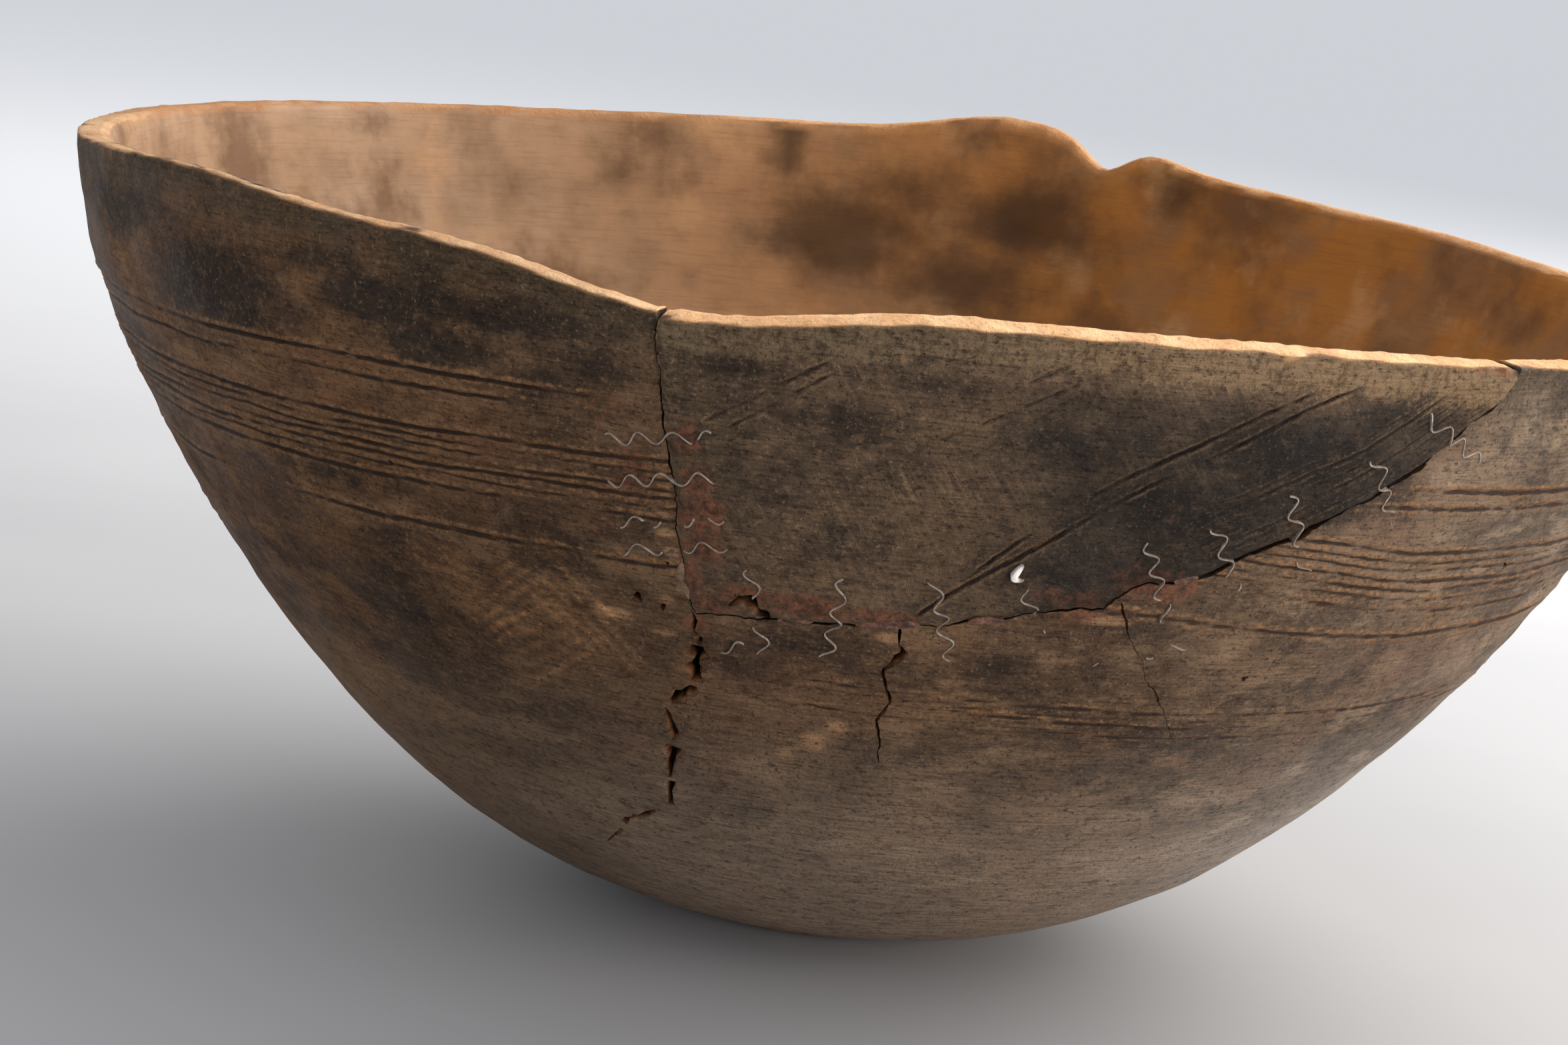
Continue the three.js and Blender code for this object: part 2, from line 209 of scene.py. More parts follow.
def hatch(bearing, height):
    total = np.zeros(np.broadcast(bearing, height).shape)
    points = skin_point(bearing, height, 0)
    for index, (at, level, half_long, half_wide, slope, spacing) in enumerate(HATCHES):
        turn = math.radians(slope)
        east = arc_of(turn_between(at, bearing)) * outer_radius(level) / ARC_RADIUS
        up = height - level
        along = east * math.cos(turn) + up * math.sin(turn) + 2.2 * field(points, 7, 150 + index)
        across = up * math.cos(turn) - east * math.sin(turn) + 0.3 * field(points, 9, 160 + index)
        stroke = hump((across + spacing / 2) % spacing - spacing / 2, HATCH_WIDTH)
        inside = ease(np.abs(along), half_long, half_long * 0.7)
        inside = inside * ease(np.abs(across), half_wide, half_wide * 0.8)
        worn = np.clip(0.7 + 0.5 * field(points, 6, 170 + index), 0, 1)
        total = np.maximum(total, stroke * inside * worn)
    return total


def worn_edge(bearing, height):
    """How far the skin is rounded back just under the rim."""
    return 0.5 * hump(rim_height(bearing) - height, 2.5)


def body_relief(bearing, height):
    points = skin_point(bearing, height, 0)
    rings, groove, lip = carve_rings(bearing, height, points)
    lumps = 0.55 * field(points, 55, 1) + 0.16 * field(points * (1, 1, 2.2), 13, 2)
    grain = 0.035 * field(points * (1, 1, 4), 4.5, 3)
    recess = -0.2 * hump(height - ring_height(TOP_PAIR[1], bearing) - 1.9, 1.6)
    near_seam = -0.45 * hump(seam_distance(bearing, height), 1.0)
    fade_low = ease(height, 3, 12)
    scratched = -0.12 * hatch(bearing, height)
    relief = (rings + lumps + grain + recess) * fade_low - worn_edge(bearing, height) + near_seam + scratched
    return relief, groove, lip


# The patch's seams as (bearing, height): down the left seam, along the lower one, up the diagonal.
ABOVE_RIM = 200
PATCH_OUTLINE = (
    (-12.9, ABOVE_RIM), (-12.9, 160), (-12.3, 144), (-11.7, 128), (-11.4, 108), (-10.6, 101.6),
    (-5.5, 102.4), (-0.9, 103.1), (5, 105.1), (10.3, 107.8), (14.7, 111.2), (17.4, 112.2),
    (18.8, 117), (23.1, 120.2), (25.1, 124.5), (28.3, 130), (32.9, 139), (36, 146.5),
    (38.9, 155.2), (41.2, 160.5), (42.3, 167), (42.3, ABOVE_RIM))
FIRST_DIAGONAL_CORNER = 12


def segment_distance(x, y, start, end):
    along = np.array(end, float) - start
    share = ((x - start[0]) * along[0] + (y - start[1]) * along[1]) / (along @ along)
    share = np.clip(share, 0, 1)
    return np.hypot(x - start[0] - share * along[0], y - start[1] - share * along[1])


def seam_distance(bearing, height, first=0, last=None):
    """Distance along the skin to the patch's seams, or to a run of them."""
    corners = [(arc_of(b), h) for b, h in PATCH_OUTLINE[first:last]]
    x = arc_of(turn_between(0, bearing))
    nearest = np.full(np.broadcast(bearing, height).shape, 99.0)
    for start, end in zip(corners, corners[1:]):
        nearest = np.minimum(nearest, segment_distance(x, height, start, end))
    return nearest


# Two long scored lines cross the patch along one curve. Each: where it starts, width and depth.
MAIN_SCORES = ((20, 0.36, 0.5), (10, 0.36, 0.55))
# Their curve: the arc of its middle, its height and slope there, and how quickly it bends.
SCORE_MIDDLE = 21
SCORE_HEIGHT = 114.2
SCORE_SLOPE = 1.02
SCORE_BEND = 0.00443
# Closer scores run beside the diagonal seam: distance from it, width and depth.
CLOSE_SCORES = ((1.9, 0.26, 0.2), (3.5, 0.32, 0.32), (5.6, 0.27, 0.24), (7.3, 0.32, 0.34), (9.8, 0.27, 0.2),
                (12.6, 0.32, 0.3), (14.6, 0.26, 0.15))
# Separate straight scores: from arc, height to arc, height, then width and depth.
PATCH_STROKES = (
    (-31, 143.6, -3.5, 162.2, 0.45, 0.3), (-26.5, 143.0, 0.5, 162.4, 0.45, 0.3),
    (-38.4, 151.7, -27.3, 160.1, 0.45, 0.2), (6.2, 145.6, 36, 163.4, 0.42, 0.26),
    (0, 137.7, 37, 159.0, 0.42, 0.28), (9.6, 134.5, 37.5, 157.0, 0.38, 0.2),
    (19.6, 145.7, 42, 163.0, 0.35, 0.18), (26.2, 134.1, 40, 156, 0.35, 0.18),
    (23.9, 127.4, 34.2, 151, 0.3, 0.14), (-9, 130, 12, 141.5, 0.35, 0.13))


def score_height(arc, index):
    """The curve of the two long scored lines; the second one lies lower between its ends."""
    run = arc - SCORE_MIDDLE
    apart = 4.8 * ease(arc, 12, 45) - 2 * ease(arc, 60, 95)
    return SCORE_HEIGHT + SCORE_SLOPE * run - SCORE_BEND * run ** 2 - index * apart


def scored_line(offset, width, strength):
    """The cut and its raised sides, across a line at an offset."""
    burr = hump(np.abs(offset) - BURR_AWAY * width, 1.1 * width)
    return hump(offset, width) * strength, burr * strength


def scraped(points, arc, height):
    """Shallow scrapes side by side, in a zone around the patch's middle."""
    zone = hump(arc - 2, 30) * hump(height - 121, 19)
    across_scrapes = np.array((0.75, 0.35, -0.55)) * 2.6
    return 0.12 * zone * field((points @ across_scrapes)[..., None] * (1, 0.3, 0.1), 3.2, 5)


def score_lines(bearing, height, arc, from_diagonal):
    """Each long or close score: offset from it, width, depth, where it shows, and how pale it is."""
    below_band = ease(rim_height(bearing) - height, 4, 9)
    across = 1 / np.sqrt(1 + (SCORE_SLOPE - 2 * SCORE_BEND * (arc - SCORE_MIDDLE)) ** 2)
    lines = []
    for index, (start, width, depth) in enumerate(MAIN_SCORES):
        offset = (height - score_height(arc, index)) * across
        lines.append((offset, width, depth, ease(arc, start, start + 8) * below_band, 0.7))
    spread = from_diagonal * (1 + 0.35 * ease(arc, 85, 130))
    for away, width, depth in CLOSE_SCORES:
        lines.append((spread - away, width, depth, ease(arc, 58, 76) * below_band, 0.5))
    return lines


def patch_relief(bearing, height):
    points = skin_point(bearing, height, 0)
    arc = arc_of(bearing)
    from_diagonal = seam_distance(bearing, height, FIRST_DIAGONAL_CORNER)
    relief = np.zeros(np.broadcast(bearing, height).shape)
    groove = relief.copy()
    lip = relief.copy()
    lines = score_lines(bearing, height, arc, from_diagonal)
    for index, (offset, width, depth, reach, pale) in enumerate(lines):
        offset = offset + 0.3 * field(points, 16, 90 + index) + 0.1 * field(points, 1.8, 100 + index)
        worn = 0.8 + 0.35 * field(points, 15, 110 + index) + 0.25 * field(points, 2.6, 120 + index)
        cut, burr = scored_line(offset, width, np.clip(worn, 0, 1.2) * reach)
        relief += depth * (0.4 * burr - cut)
        groove = np.maximum(groove, cut * min(1, depth / DARK_DEPTH))
        lip = np.maximum(lip, pale * burr)
    for from_arc, from_height, to_arc, to_height, width, depth in PATCH_STROKES:
        distance = segment_distance(arc, height, (from_arc, from_height), (to_arc, to_height))
        strength = np.clip(0.7 + 0.4 * field(points, 9, 130) + 0.3 * field(points, 2.5, 132), 0, 1)
        cut, burr = scored_line(distance + 0.2 * field(points, 2, 131), 0.75 * width, strength)
        relief += depth * (0.3 * burr - cut)
        groove = np.maximum(groove, cut * min(1, depth / DARK_DEPTH))
        lip = np.maximum(lip, 0.6 * burr * min(1, depth / DARK_DEPTH))
    relief += scraped(points, arc, height)
    relief += 0.4 * field(points, 45, 4) + 0.1 * field(points, 10, 6) + 0.03 * field(points, 3, 7)
    # The patch stands proud along the diagonal and sinks a little along the lower seam.
    relief += 1.1 * hump(from_diagonal, 9) * ease(arc, 50, 75)
    relief -= 0.5 * hump(seam_distance(bearing, height), 0.8)
    relief -= worn_edge(bearing, height)
    return relief, groove, lip


def inner_relief(bearing, height):
    points = skin_point(bearing, height, 0)
    facets = 0.5 * field(points, 30, 11) + 0.15 * field(points * (1, 1, 1.3), 14, 12)
    return facets + 0.02 * field(points, 6, 13)


# ---- the shells ----

# Inward and downward steps of the rim's worn section, from its outer edge to its inner one.
RIM_SECTION = ((0, 1.2), (0.15, 0.75), (0.5, 0.42), (1.2, 0.25), (2.4, 0.12), (3.8, 0.05), (5.2, 0),
               (6.4, 0.05), (7.2, 0.3), (7.8, 1.0))
RIM_OUTER_TOP = 3.8
RIM_INNER_TOP = 4.4
STRETCH_FROM = 148

# Every spacing of the meshes is made this many times coarser.
COARSER = 1
# Columns and rows of the bowl's mesh: where they start, and runs of where to and how close together.
FIRST_COLUMN = -104
LOWEST_ROW = 4
BODY_COLUMNS = ((-64, 0.8), (-46, 0.42), (56, 0.28), (72, 0.42), (104, 0.8), (140, 1.8), (190, 0.9),
                (256, 1.8))
BODY_ROWS = ((24, 1.7), (78, 2.4), (116, 0.6), (146, 0.38), (150, 0.7), (RIM_HEIGHT - RIM_OUTER_TOP, 1.2))
INNER_ROWS = ((120, 3), (30, 4), (3, 3))
# The patch's mesh: its first and last column and their spacing in degrees, its rows and its lowest ones.
SLAB_COLUMNS = (-17, 47, 0.17)
SLAB_ROW = 0.45
SLAB_OUTER_FOOT = 95
SLAB_INNER_FOOT = 92
# Radius and height of the rings of points under the foot and on the inner floor.
FOOT_SECTION = ((8, 0), (17, 0), (26, 0), (REST_RADIUS, 0), (37, 0.35), (40.5, 1.2), (43.6, 2.4))
FLOOR_SECTION = ((32, 15.9), (22, 14.9), (11, 14.2))


def rim_stretch(bearing, height):
    """Heights near the top, moved to follow the uneven rim."""
    share = np.clip((height - STRETCH_FROM) / (RIM_HEIGHT - STRETCH_FROM), 0, None)
    return height + (rim_height(bearing) - RIM_HEIGHT) * share


def body_lean(bearing):
    """How far the body's rim slopes outwards; left of the patch it slopes inwards instead."""
    turn = turn_between(0, bearing)
    near_patch = ease(turn, -60, -45) * ease(turn, 20, -10)
    far_left = ease(turn, -95, -60) * ease(turn, -22, -52)
    return 0.3 - 0.5 * near_patch - 1.3 * far_left


def patch_lean(bearing):
    return 1.1 - 0.7 * ease(bearing, 5, 40)


def body_dip(bearing):
    """The body's rim crumbles a little where it meets the patch."""
    return 0.4 * hump(bearing + 13.7, 0.7) + 0.3 * hump(bearing - 42.8, 0.8)


def patch_dip(bearing):
    """The patch's top corners are chipped and rounded."""
    return 0.7 * hump(bearing + 12.9, 0.8) + 1.0 * hump(bearing - 42.3, 0.9)


def rim_rows(bearing, seed, dip, lean_of):
    """The rim from its outer edge to its inner one."""
    rows = []
    lean = lean_of(bearing)
    for inward, flat_down in RIM_SECTION:
        share = ease(inward, 0, RIM_THICKNESS)
        down = flat_down + np.maximum(lean, 0) * (1 - share) + np.maximum(-lean, 0) * share
        base = round_point(bearing, outer_radius(RIM_HEIGHT) - inward, RIM_HEIGHT)
        rough = 0.11 * field(base, 1.5, seed) + 0.1 * field(base, 7, seed + 1)
        rough -= 0.2 * np.clip(field(base, 9, seed + 3), 0.9, 2)
        height = rim_height(bearing) - down + rough - dip(bearing)
        leaning = outer_radius(height) - inward + 0.13 * field(base, 2.2, seed + 4)
        rows.append(round_point(bearing, leaning, height))
    return rows


def outer_rows(bearing, heights, relief_of):
    rows = []
    for height in heights:
        level = rim_stretch(bearing, height)
        rows.append(skin_point(bearing, level, relief_of(bearing, level)[0]))
    return rows


def inner_rows(bearing, heights):
    rows = []
    for height in heights:
        level = rim_stretch(bearing, height)
        rows.append(skin_point(bearing, level, inner_relief(bearing, level) - wall_thickness(height)))
    return rows


def spaced(start, runs):
    """Values from a start through runs, each being (where to, how close together)."""
    values = [start]
    for end, step in runs:
        count = max(1, round(abs(end - start) / (step * COARSER)))
        values += [start + (end - start) * (i + 1) / count for i in range(count)]
        start = end
    return np.array(values)


def build_mesh(name, points, faces):
    mesh = bpy.data.meshes.new(name)
    mesh.from_pydata((np.asarray(points) * MM).tolist(), [], faces)
    mesh.validate()
    piece = bpy.data.objects.new(name, mesh)
    bpy.context.scene.collection.objects.link(piece)
    return piece


def grid_faces(row_count, column_count, closed_columns, closed_rows=False):
    rows = np.arange(row_count if closed_rows else row_count - 1)
    columns = np.arange(column_count if closed_columns else column_count - 1)
    row, column = np.meshgrid(rows, columns, indexing="ij")
    beside = (column + 1) % column_count
    above = (row + 1) % row_count
    corners = (row * column_count + column, row * column_count + beside,
               above * column_count + beside, above * column_count + column)
    return np.stack(corners, axis=-1).reshape(-1, 4).tolist()


def strip_faces(row_count, column_count):
    """Faces of a strip whose rows go all the way around it, closed at both ends."""
    faces = grid_faces(row_count, column_count, False, closed_rows=True)
    faces.append([row * column_count for row in range(row_count)])
    faces.append([row * column_count + column_count - 1 for row in range(row_count)][::-1])
    return faces


def body_shell():
    """The whole bowl, its patch still to be cut out: rows from the outer foot, over the rim, to the inner
    floor.
    """
    bearing = spaced(FIRST_COLUMN, BODY_COLUMNS)[:-1]
    foot = [round_point(bearing, *place) for place in FOOT_SECTION]
    heights = spaced(LOWEST_ROW, BODY_ROWS)
    inner_heights = spaced(RIM_HEIGHT - RIM_INNER_TOP, INNER_ROWS)
    floor_rows = [round_point(bearing, *place) for place in FLOOR_SECTION]
    rows = foot + outer_rows(bearing, heights, body_relief) + rim_rows(bearing, 21, body_dip, body_lean)
    rows += inner_rows(bearing, inner_heights) + floor_rows
    count = len(bearing)
    points = np.concatenate(rows + [[(0, 0, 0), (0, 0, BASE_THICKNESS)]])
    faces = grid_faces(len(rows), count, True)
    foot_centre, floor_centre = len(points) - 2, len(points) - 1
    top = (len(rows) - 1) * count
    for j in range(count):
        beside = (j + 1) % count
        faces.append((foot_centre, beside, j))
        faces.append((floor_centre, top + j, top + beside))
    return build_mesh("bowl_body_visual", points, faces)


def patch_slab():
    """A stretch of wall a little larger than the patch, to be trimmed to its outline."""
    first, last, spacing = SLAB_COLUMNS
    bearing = np.arange(first, last, spacing * COARSER)
    heights = spaced(SLAB_OUTER_FOOT, ((RIM_HEIGHT - RIM_OUTER_TOP, SLAB_ROW),))
    inner_heights = spaced(RIM_HEIGHT - RIM_INNER_TOP, ((SLAB_INNER_FOOT, 3),))
    rows = outer_rows(bearing, heights, patch_relief) + rim_rows(bearing, 31, patch_dip, patch_lean)
    rows += inner_rows(bearing, inner_heights)
    return build_mesh("rim_patch_visual", np.concatenate(rows), strip_faces(len(rows), len(bearing)))


# ---- cutters ----

def wrapped_cutter(name, rings, outline):
    """A closed cutter through the wall: rings of points from the inside out, along one outline."""
    count = len(outline)
    beside = [(j + 1) % count for j in range(count)]
    shift = np.roll(outline, -1, axis=0)
    area = np.sum(outline[:, 0] * shift[:, 1] - shift[:, 0] * outline[:, 1])
    faces = []
    for level in range(len(rings) - 1):
        low, high = level * count, (level + 1) * count
        for j in range(count):
            face = (low + j, low + beside[j], high + beside[j], high + j)
            faces.append(face if area > 0 else face[::-1])
    top = (len(rings) - 1) * count
    for a, b, c in tessellate_polygon([[Vector((x, y, 0)) for x, y in outline]]):
        turn = np.cross(outline[b] - outline[a], outline[c] - outline[a])
        a, b, c = (a, b, c) if turn > 0 else (a, c, b)
        faces.append((top + a, top + b, top + c))
        faces.append((a, c, b))
    return build_mesh(name, np.concatenate(rings), faces)


def cut(target, cutter, operation):
    """Cuts or intersects a piece with a cutter, and removes the cutter."""
    modifier = target.modifiers.new("cut", "BOOLEAN")
    modifier.operation = operation
    modifier.object = cutter
    modifier.solver = "MANIFOLD"
    depsgraph = bpy.context.evaluated_depsgraph_get()
    mesh = bpy.data.meshes.new_from_object(target.evaluated_get(depsgraph))
    target.modifiers.clear()
    target.data = mesh
    bpy.data.objects.remove(cutter)


def dense_run(points, step):
    """Points along a run, filled in at a step in millimetres along the skin."""
    filled = []
    for start, end in zip(points, points[1:]):
        start, end = np.array(start, float), np.array(end, float)
        per_degree = math.radians(1) * float(outer_radius((start[1] + end[1]) / 2))
        length = math.hypot((end[0] - start[0]) * per_degree, end[1] - start[1])
        count = max(1, round(length / step))
        filled += [start + (end - start) * i / count for i in range(count)]
    filled.append(np.array(points[-1], float))
    return np.array(filled)


def jagged(run, amount, size, seed):
    """Shakes a run sideways by up to an amount in millimetres."""
    base = round_point(run[:, 0], outer_radius(np.minimum(run[:, 1], RIM_HEIGHT)), run[:, 1])
    per_degree = math.radians(1) * ARC_RADIUS
    run = run.copy()
    run[:, 0] += amount * field(base, size, seed) / per_degree
    run[:, 1] += amount * field(base, size, seed + 1)
    return run


# How far out from the skin each ring of the patch's cutter lies, from the inside out.
PATCH_CUT_LEVELS = (-40, -10.5, -8, -6, -4, -2.5, -1.3, -0.5, 0.3, 60)
# Where the joint gapes: bearing, height, spreads, and how far the bowl's side is worn back.
SEAM_OPENINGS = ((-12.3, 147, 2, 7, 0.25), (-12.9, 165, 2, 3.5, 0.4), (-12, 134, 2, 3, 0.15),
                 (-3, 102.6, 2.6, 3, 0.45), (1.5, 104.2, 1.6, 3, 0.55), (9, 107, 3, 4, 0.25),
                 (15, 111.5, 2, 3, 0.3), (24, 122, 4, 6, 0.5), (29, 132, 5, 8, 0.7),
                 (35, 145, 4.5, 9, 0.95), (39.5, 157, 4, 7, 1.2), (42, 168, 3, 6, 0.35))
SEAM_STEP = 0.6
# Shares of that wear taken from the bowl and, the other way, from the patch.
BODY_WEAR = 1
PATCH_WEAR = -0.3


def patch_cutter(grow, wear):
    """Cuts the patch's outline through the wall, wider by grow and by a share of the joint's wear."""
    outline = jagged(dense_run(PATCH_OUTLINE, SEAM_STEP), amount=0.32, size=3.5, seed=51)
    outline = jagged(outline, amount=0.14, size=1.0, seed=53)
    base = round_point(outline[:, 0], ARC_RADIUS, outline[:, 1])
    ragged = np.clip(0.8 + 0.5 * field(base, 2.5, 57 + round(wear)), 0.1, 2)
    grow = grow + wear * spots(outline[:, 0], outline[:, 1], SEAM_OPENINGS) * ragged
    grow = grow[:, None]
    flat = np.stack([arc_of(outline[:, 0]), outline[:, 1]], axis=1)
    along = np.roll(flat, -1, axis=0) - np.roll(flat, 1, axis=0)
    along /= np.linalg.norm(along, axis=1)[:, None]
    flat = flat + np.stack([along[:, 1], -along[:, 0]], axis=1) * grow
    outline = np.stack([np.degrees(flat[:, 0] / ARC_RADIUS), flat[:, 1]], axis=1)
    skin = outer_radius(np.minimum(outline[:, 1], RIM_HEIGHT))
    rings = [round_point(outline[:, 0], skin + out, outline[:, 1]) for out in PATCH_CUT_LEVELS]
    return wrapped_cutter("patch_cutter", rings, outline)


# Each crack is a run of (bearing, height, width, depth) from its mouth to its end.
CRACKS = {
    "left_top": ((-11, 101.8, 0.3, 2), (-10.6, 99.5, 0.9, 3), (-10.9, 97.5, 0.3, 2), (-10.4, 95.6, 0.9, 3),
                 (-10.5, 94.4, 0.5, 3)),
    "left_hole": ((-10.6, 94.2, 1.6, 8), (-10.6, 93, 2.9, 9), (-10.7, 90, 3.1, 9), (-10.9, 87, 2.9, 9),
                  (-11, 85.6, 1.4, 7)),
    "left_slant": ((-10.8, 83.6, 1.0, 3), (-11.6, 82.3, 2.0, 4), (-12.6, 80.4, 1.9, 5),
                   (-13.4, 78.7, 0.8, 4)),
    "left_3": ((-13.8, 77.4, 0.8, 4), (-13.6, 75, 1.5, 5), (-13.4, 71.4, 2.1, 5), (-13.4, 69.2, 0.9, 4)),
    "left_4": ((-13.7, 67.2, 1.9, 4), (-13.9, 65, 2.2, 5), (-14.3, 61, 1.1, 3), (-14.6, 58.2, 0.9, 2)),
    "left_5": ((-14.6, 57.4, 1.7, 3), (-15.1, 53.6, 2.0, 5), (-15.5, 50, 1.4, 4)),
    "left_6": ((-17.2, 47.2, 0.9, 2), (-19.4, 44.4, 2.0, 4), (-22.4, 40.8, 1.1, 3)),
    "left_7": ((-23.1, 38.2, 0.8, 1.2), (-25, 35.4, 1.3, 1.6), (-26.8, 32.9, 0.5, 0.8)),
    "middle": ((3.6, 103.9, 0.6, 5), (3.9, 100, 0.7, 5), (4.2, 97.8, 1.7, 5), (3.7, 95.4, 1.3, 4),
               (3.0, 93.2, 0.7, 4), (3.5, 88.5, 0.9, 4), (3.9, 86, 0.5, 4), (3.2, 81, 0.6, 3),
               (3.8, 75, 0.4, 2), (3.9, 70, 0.2, 1.5)),
    "right": ((18.4, 113.2, 0.6, 2.5), (19.0, 109.5, 0.9, 2), (19.6, 107, 0.3, 1), (21.6, 99.5, 0.16, 0.5),
              (22.6, 95.5, 0.14, 0.4), (24.2, 91.6, 0.5, 0.7), (25, 89, 0.14, 0.4), (28, 80, 0.1, 0.3)),
}
# This hole lies on the lower joint, so it is cut from both pieces of wood.
JOINT_HOLE = ((-8.1, 104.9, 0.4, 3), (-7.4, 106, 1.5, 5), (-6.7, 105.5, 2.4, 6), (-6.0, 104.1, 2.4, 6),
              (-5.4, 102.8, 0.7, 4))
# Each ring of a crack's cutter: its share of the depth, how far proud, and its share of the width.
CRACK_LEVELS = ((1, 0, 0.25), (0.6, 0, 0.5), (0.3, 0, 0.68), (0.12, 0, 0.8), (0.05, 0, 1),
                (0, 0.1, 1.35), (0, 3, 1.5))
CRACK_STEP = 0.45


def across_run(flat, smoothing=1):
    """The way across a flat run at each of its points, evened out over some of them."""
    weights = np.ones(smoothing) / smoothing
    padded = [np.pad(side, smoothing // 2, "edge") for side in np.gradient(flat, axis=0).T]
    along = np.stack([np.convolve(side, weights, "valid") for side in padded], axis=1)
    along /= np.linalg.norm(along, axis=1)[:, None]
    return np.stack([along[:, 1], -along[:, 0]], axis=1)


def crack_cutter(name, run):
    dense = dense_run(run, CRACK_STEP)
    seed = 200 + len(run)
    shaken = jagged(dense, amount=0.3, size=3.5, seed=seed)
    shaken = jagged(shaken, amount=0.16, size=1.1, seed=seed + 2)
    per_degree = np.radians(1) * outer_radius(dense[:, 1])
    flat = np.stack([shaken[:, 0] * per_degree, shaken[:, 1]], axis=1)
    across = across_run(flat, smoothing=7)
    base = round_point(dense[:, 0], outer_radius(dense[:, 1]), dense[:, 1])
    width = dense[:, 2] * np.clip(1 + 0.45 * field(base, 1.8, seed + 4), 0.35, 2)

    def outline(share):
        sides = []
        for sign in (-1, 1):
            side = flat + across * (sign * share * width / 2)[:, None]
            side[:, 0] /= per_degree
            sides.append(side[::sign])
        return np.concatenate(sides)

    depth = np.concatenate([dense[::-1, 3], dense[:, 3]])
    rings = []
    for deep, proud, share in CRACK_LEVELS:
        ring = outline(share)
        rings.append(skin_point(ring[:, 0], ring[:, 1], proud - deep * depth))
    return wrapped_cutter(name, rings, outline(1))


WORM_HOLES = ((-14.8, 103.0, 1.1), (-13.0, 101.9, 0.8), (-12.4, 112, 0.5), (31, 96, 0.7),
              (-33, 122, 0.6), (52, 120, 0.7), (140, 95, 0.9), (205, 118, 0.8), (233, 84, 0.9),
              (262, 131, 0.7))
WORM_HOLE_LEVELS = (-3.5, -1.5, -0.4, 3)


def worm_hole_cutter(bearing, height, radius):
    per_degree = math.radians(1) * float(outer_radius(height))
    turns = np.linspace(0, 2 * math.pi, 17)[:-1]
    reach = radius * (1 + 0.25 * np.sin(3 * turns + bearing))
    outline = np.stack([bearing + reach * np.cos(turns) / per_degree, height + reach * np.sin(turns)], 1)
    rings = [skin_point(outline[:, 0], outline[:, 1], proud) for proud in WORM_HOLE_LEVELS]
    return wrapped_cutter("worm_hole", rings, outline)


# ---- vertex masks for the materials ----

LOWEST_RELIEF = 4
INNER_FLOOR_RADIUS = 42


def set_mask(piece, name, values):
    attribute = piece.data.attributes.new(name, "FLOAT", "POINT")
    attribute.data.foreach_set("value", np.asarray(values, np.float32).ravel())


def places_of(piece):
    count = len(piece.data.vertices)
    flat = np.empty(count * 3)
    piece.data.vertices.foreach_get("co", flat)
    points = flat.reshape(-1, 3) / MM
    bearing = np.degrees(np.arctan2(points[:, 0], -points[:, 1]))
    return points, bearing, points[:, 2], np.hypot(points[:, 0], points[:, 1])


# Old dark stains inside the bowl: bearing, height, spread in degrees, spread in height, strength.
INNER_STAINS = ((190, 172, 1.8, 14, 1.0), (167, 154, 7, 15, 1.1), (179, 160, 7, 9, 0.8),
                (178, 156, 14, 21, 0.42), (155, 168, 3, 9, 0.7),
                (184, 145, 9, 13, 1.0), (172, 138, 12, 12, 0.75), (203, 165, 9, 10, 0.35),
                (216, 150, 8, 10, 0.3), (130, 120, 16, 20, 0.5), (60, 100, 20, 22, 0.5),
                (300, 110, 22, 18, 0.45), (20, 70, 25, 20, 0.5), (250, 80, 25, 18, 0.45))
# Red-brown resin smeared over the joint: bearing, height, spreads, strength.
RESIN_SMEARS = ((-10.8, 139, 1.0, 5, 0.8), (-10.2, 131, 1.3, 4, 0.9), (-9.9, 124, 1.7, 5, 1.0),
                (-9.9, 116.5, 1.5, 4, 0.95), (-10.8, 109, 0.9, 5, 0.9), (-9.2, 104.6, 1.8, 2.4, 1.0),
                (-6.8, 107.4, 2.4, 2.6, 0.85), (-2.6, 106.4, 3.4, 3, 0.9), (2.6, 106.4, 2.8, 2.2, 0.8),
                (13.4, 114.4, 1.6, 1.8, 0.7), (19.5, 119, 2.6, 3.6, 0.95), (15.6, 113.8, 2.6, 2.6, 0.7),
                (21.6, 117, 2, 3.4, 0.8), (-14.4, 131, 1.6, 9, 0.6), (-15.5, 144, 2.4, 4, 0.5),
                (-10.6, 98.6, 0.9, 3, 0.9), (16, 110, 4, 2.4, 0.5), (-17, 117, 2, 4, 0.4))
# Soot and dark handling stains on the outside: bearing, height, spreads, strength.
SOOT = ((-31.5, 157, 6, 6, 1.15), (-27.5, 149.5, 4.5, 5, 1.2), (-24.5, 158, 7, 4, 1.05),
        (-20, 146, 4, 4, 0.75), (-47, 152, 9, 12, 1.0), (-37, 162, 9, 5, 0.7), (-17, 151, 3.4, 6, 0.7),
        (-40, 118, 9, 7, 0.6), (-38, 90, 8, 12, 0.6), (-20, 115, 5, 3, 0.5), (-5, 98, 4, 4, 0.4),
        (12, 97, 8, 4, 0.5), (2, 74, 9, 4, 0.4), (30, 92, 8, 5, 0.3), (26, 148, 8, 9, 0.9),
        (33, 157, 6, 5, 0.9), (-8, 155.5, 4, 3, 0.9), (3, 156.5, 6, 3, 0.6), (-3, 148, 6, 5, 0.6),
        (12, 148, 6, 8, 0.7), (11, 118, 6, 6, 0.6), (31, 141, 7, 10, 0.9), (20, 134, 7, 9, 0.85),
        (80, 140, 14, 16, 0.7), (118, 112, 18, 20, 0.7), (160, 146, 14, 12, 0.8), (205, 95, 20, 18, 0.6),
        (238, 140, 12, 16, 0.8), (275, 118, 16, 20, 0.6), (300, 160, 10, 8, 0.7))
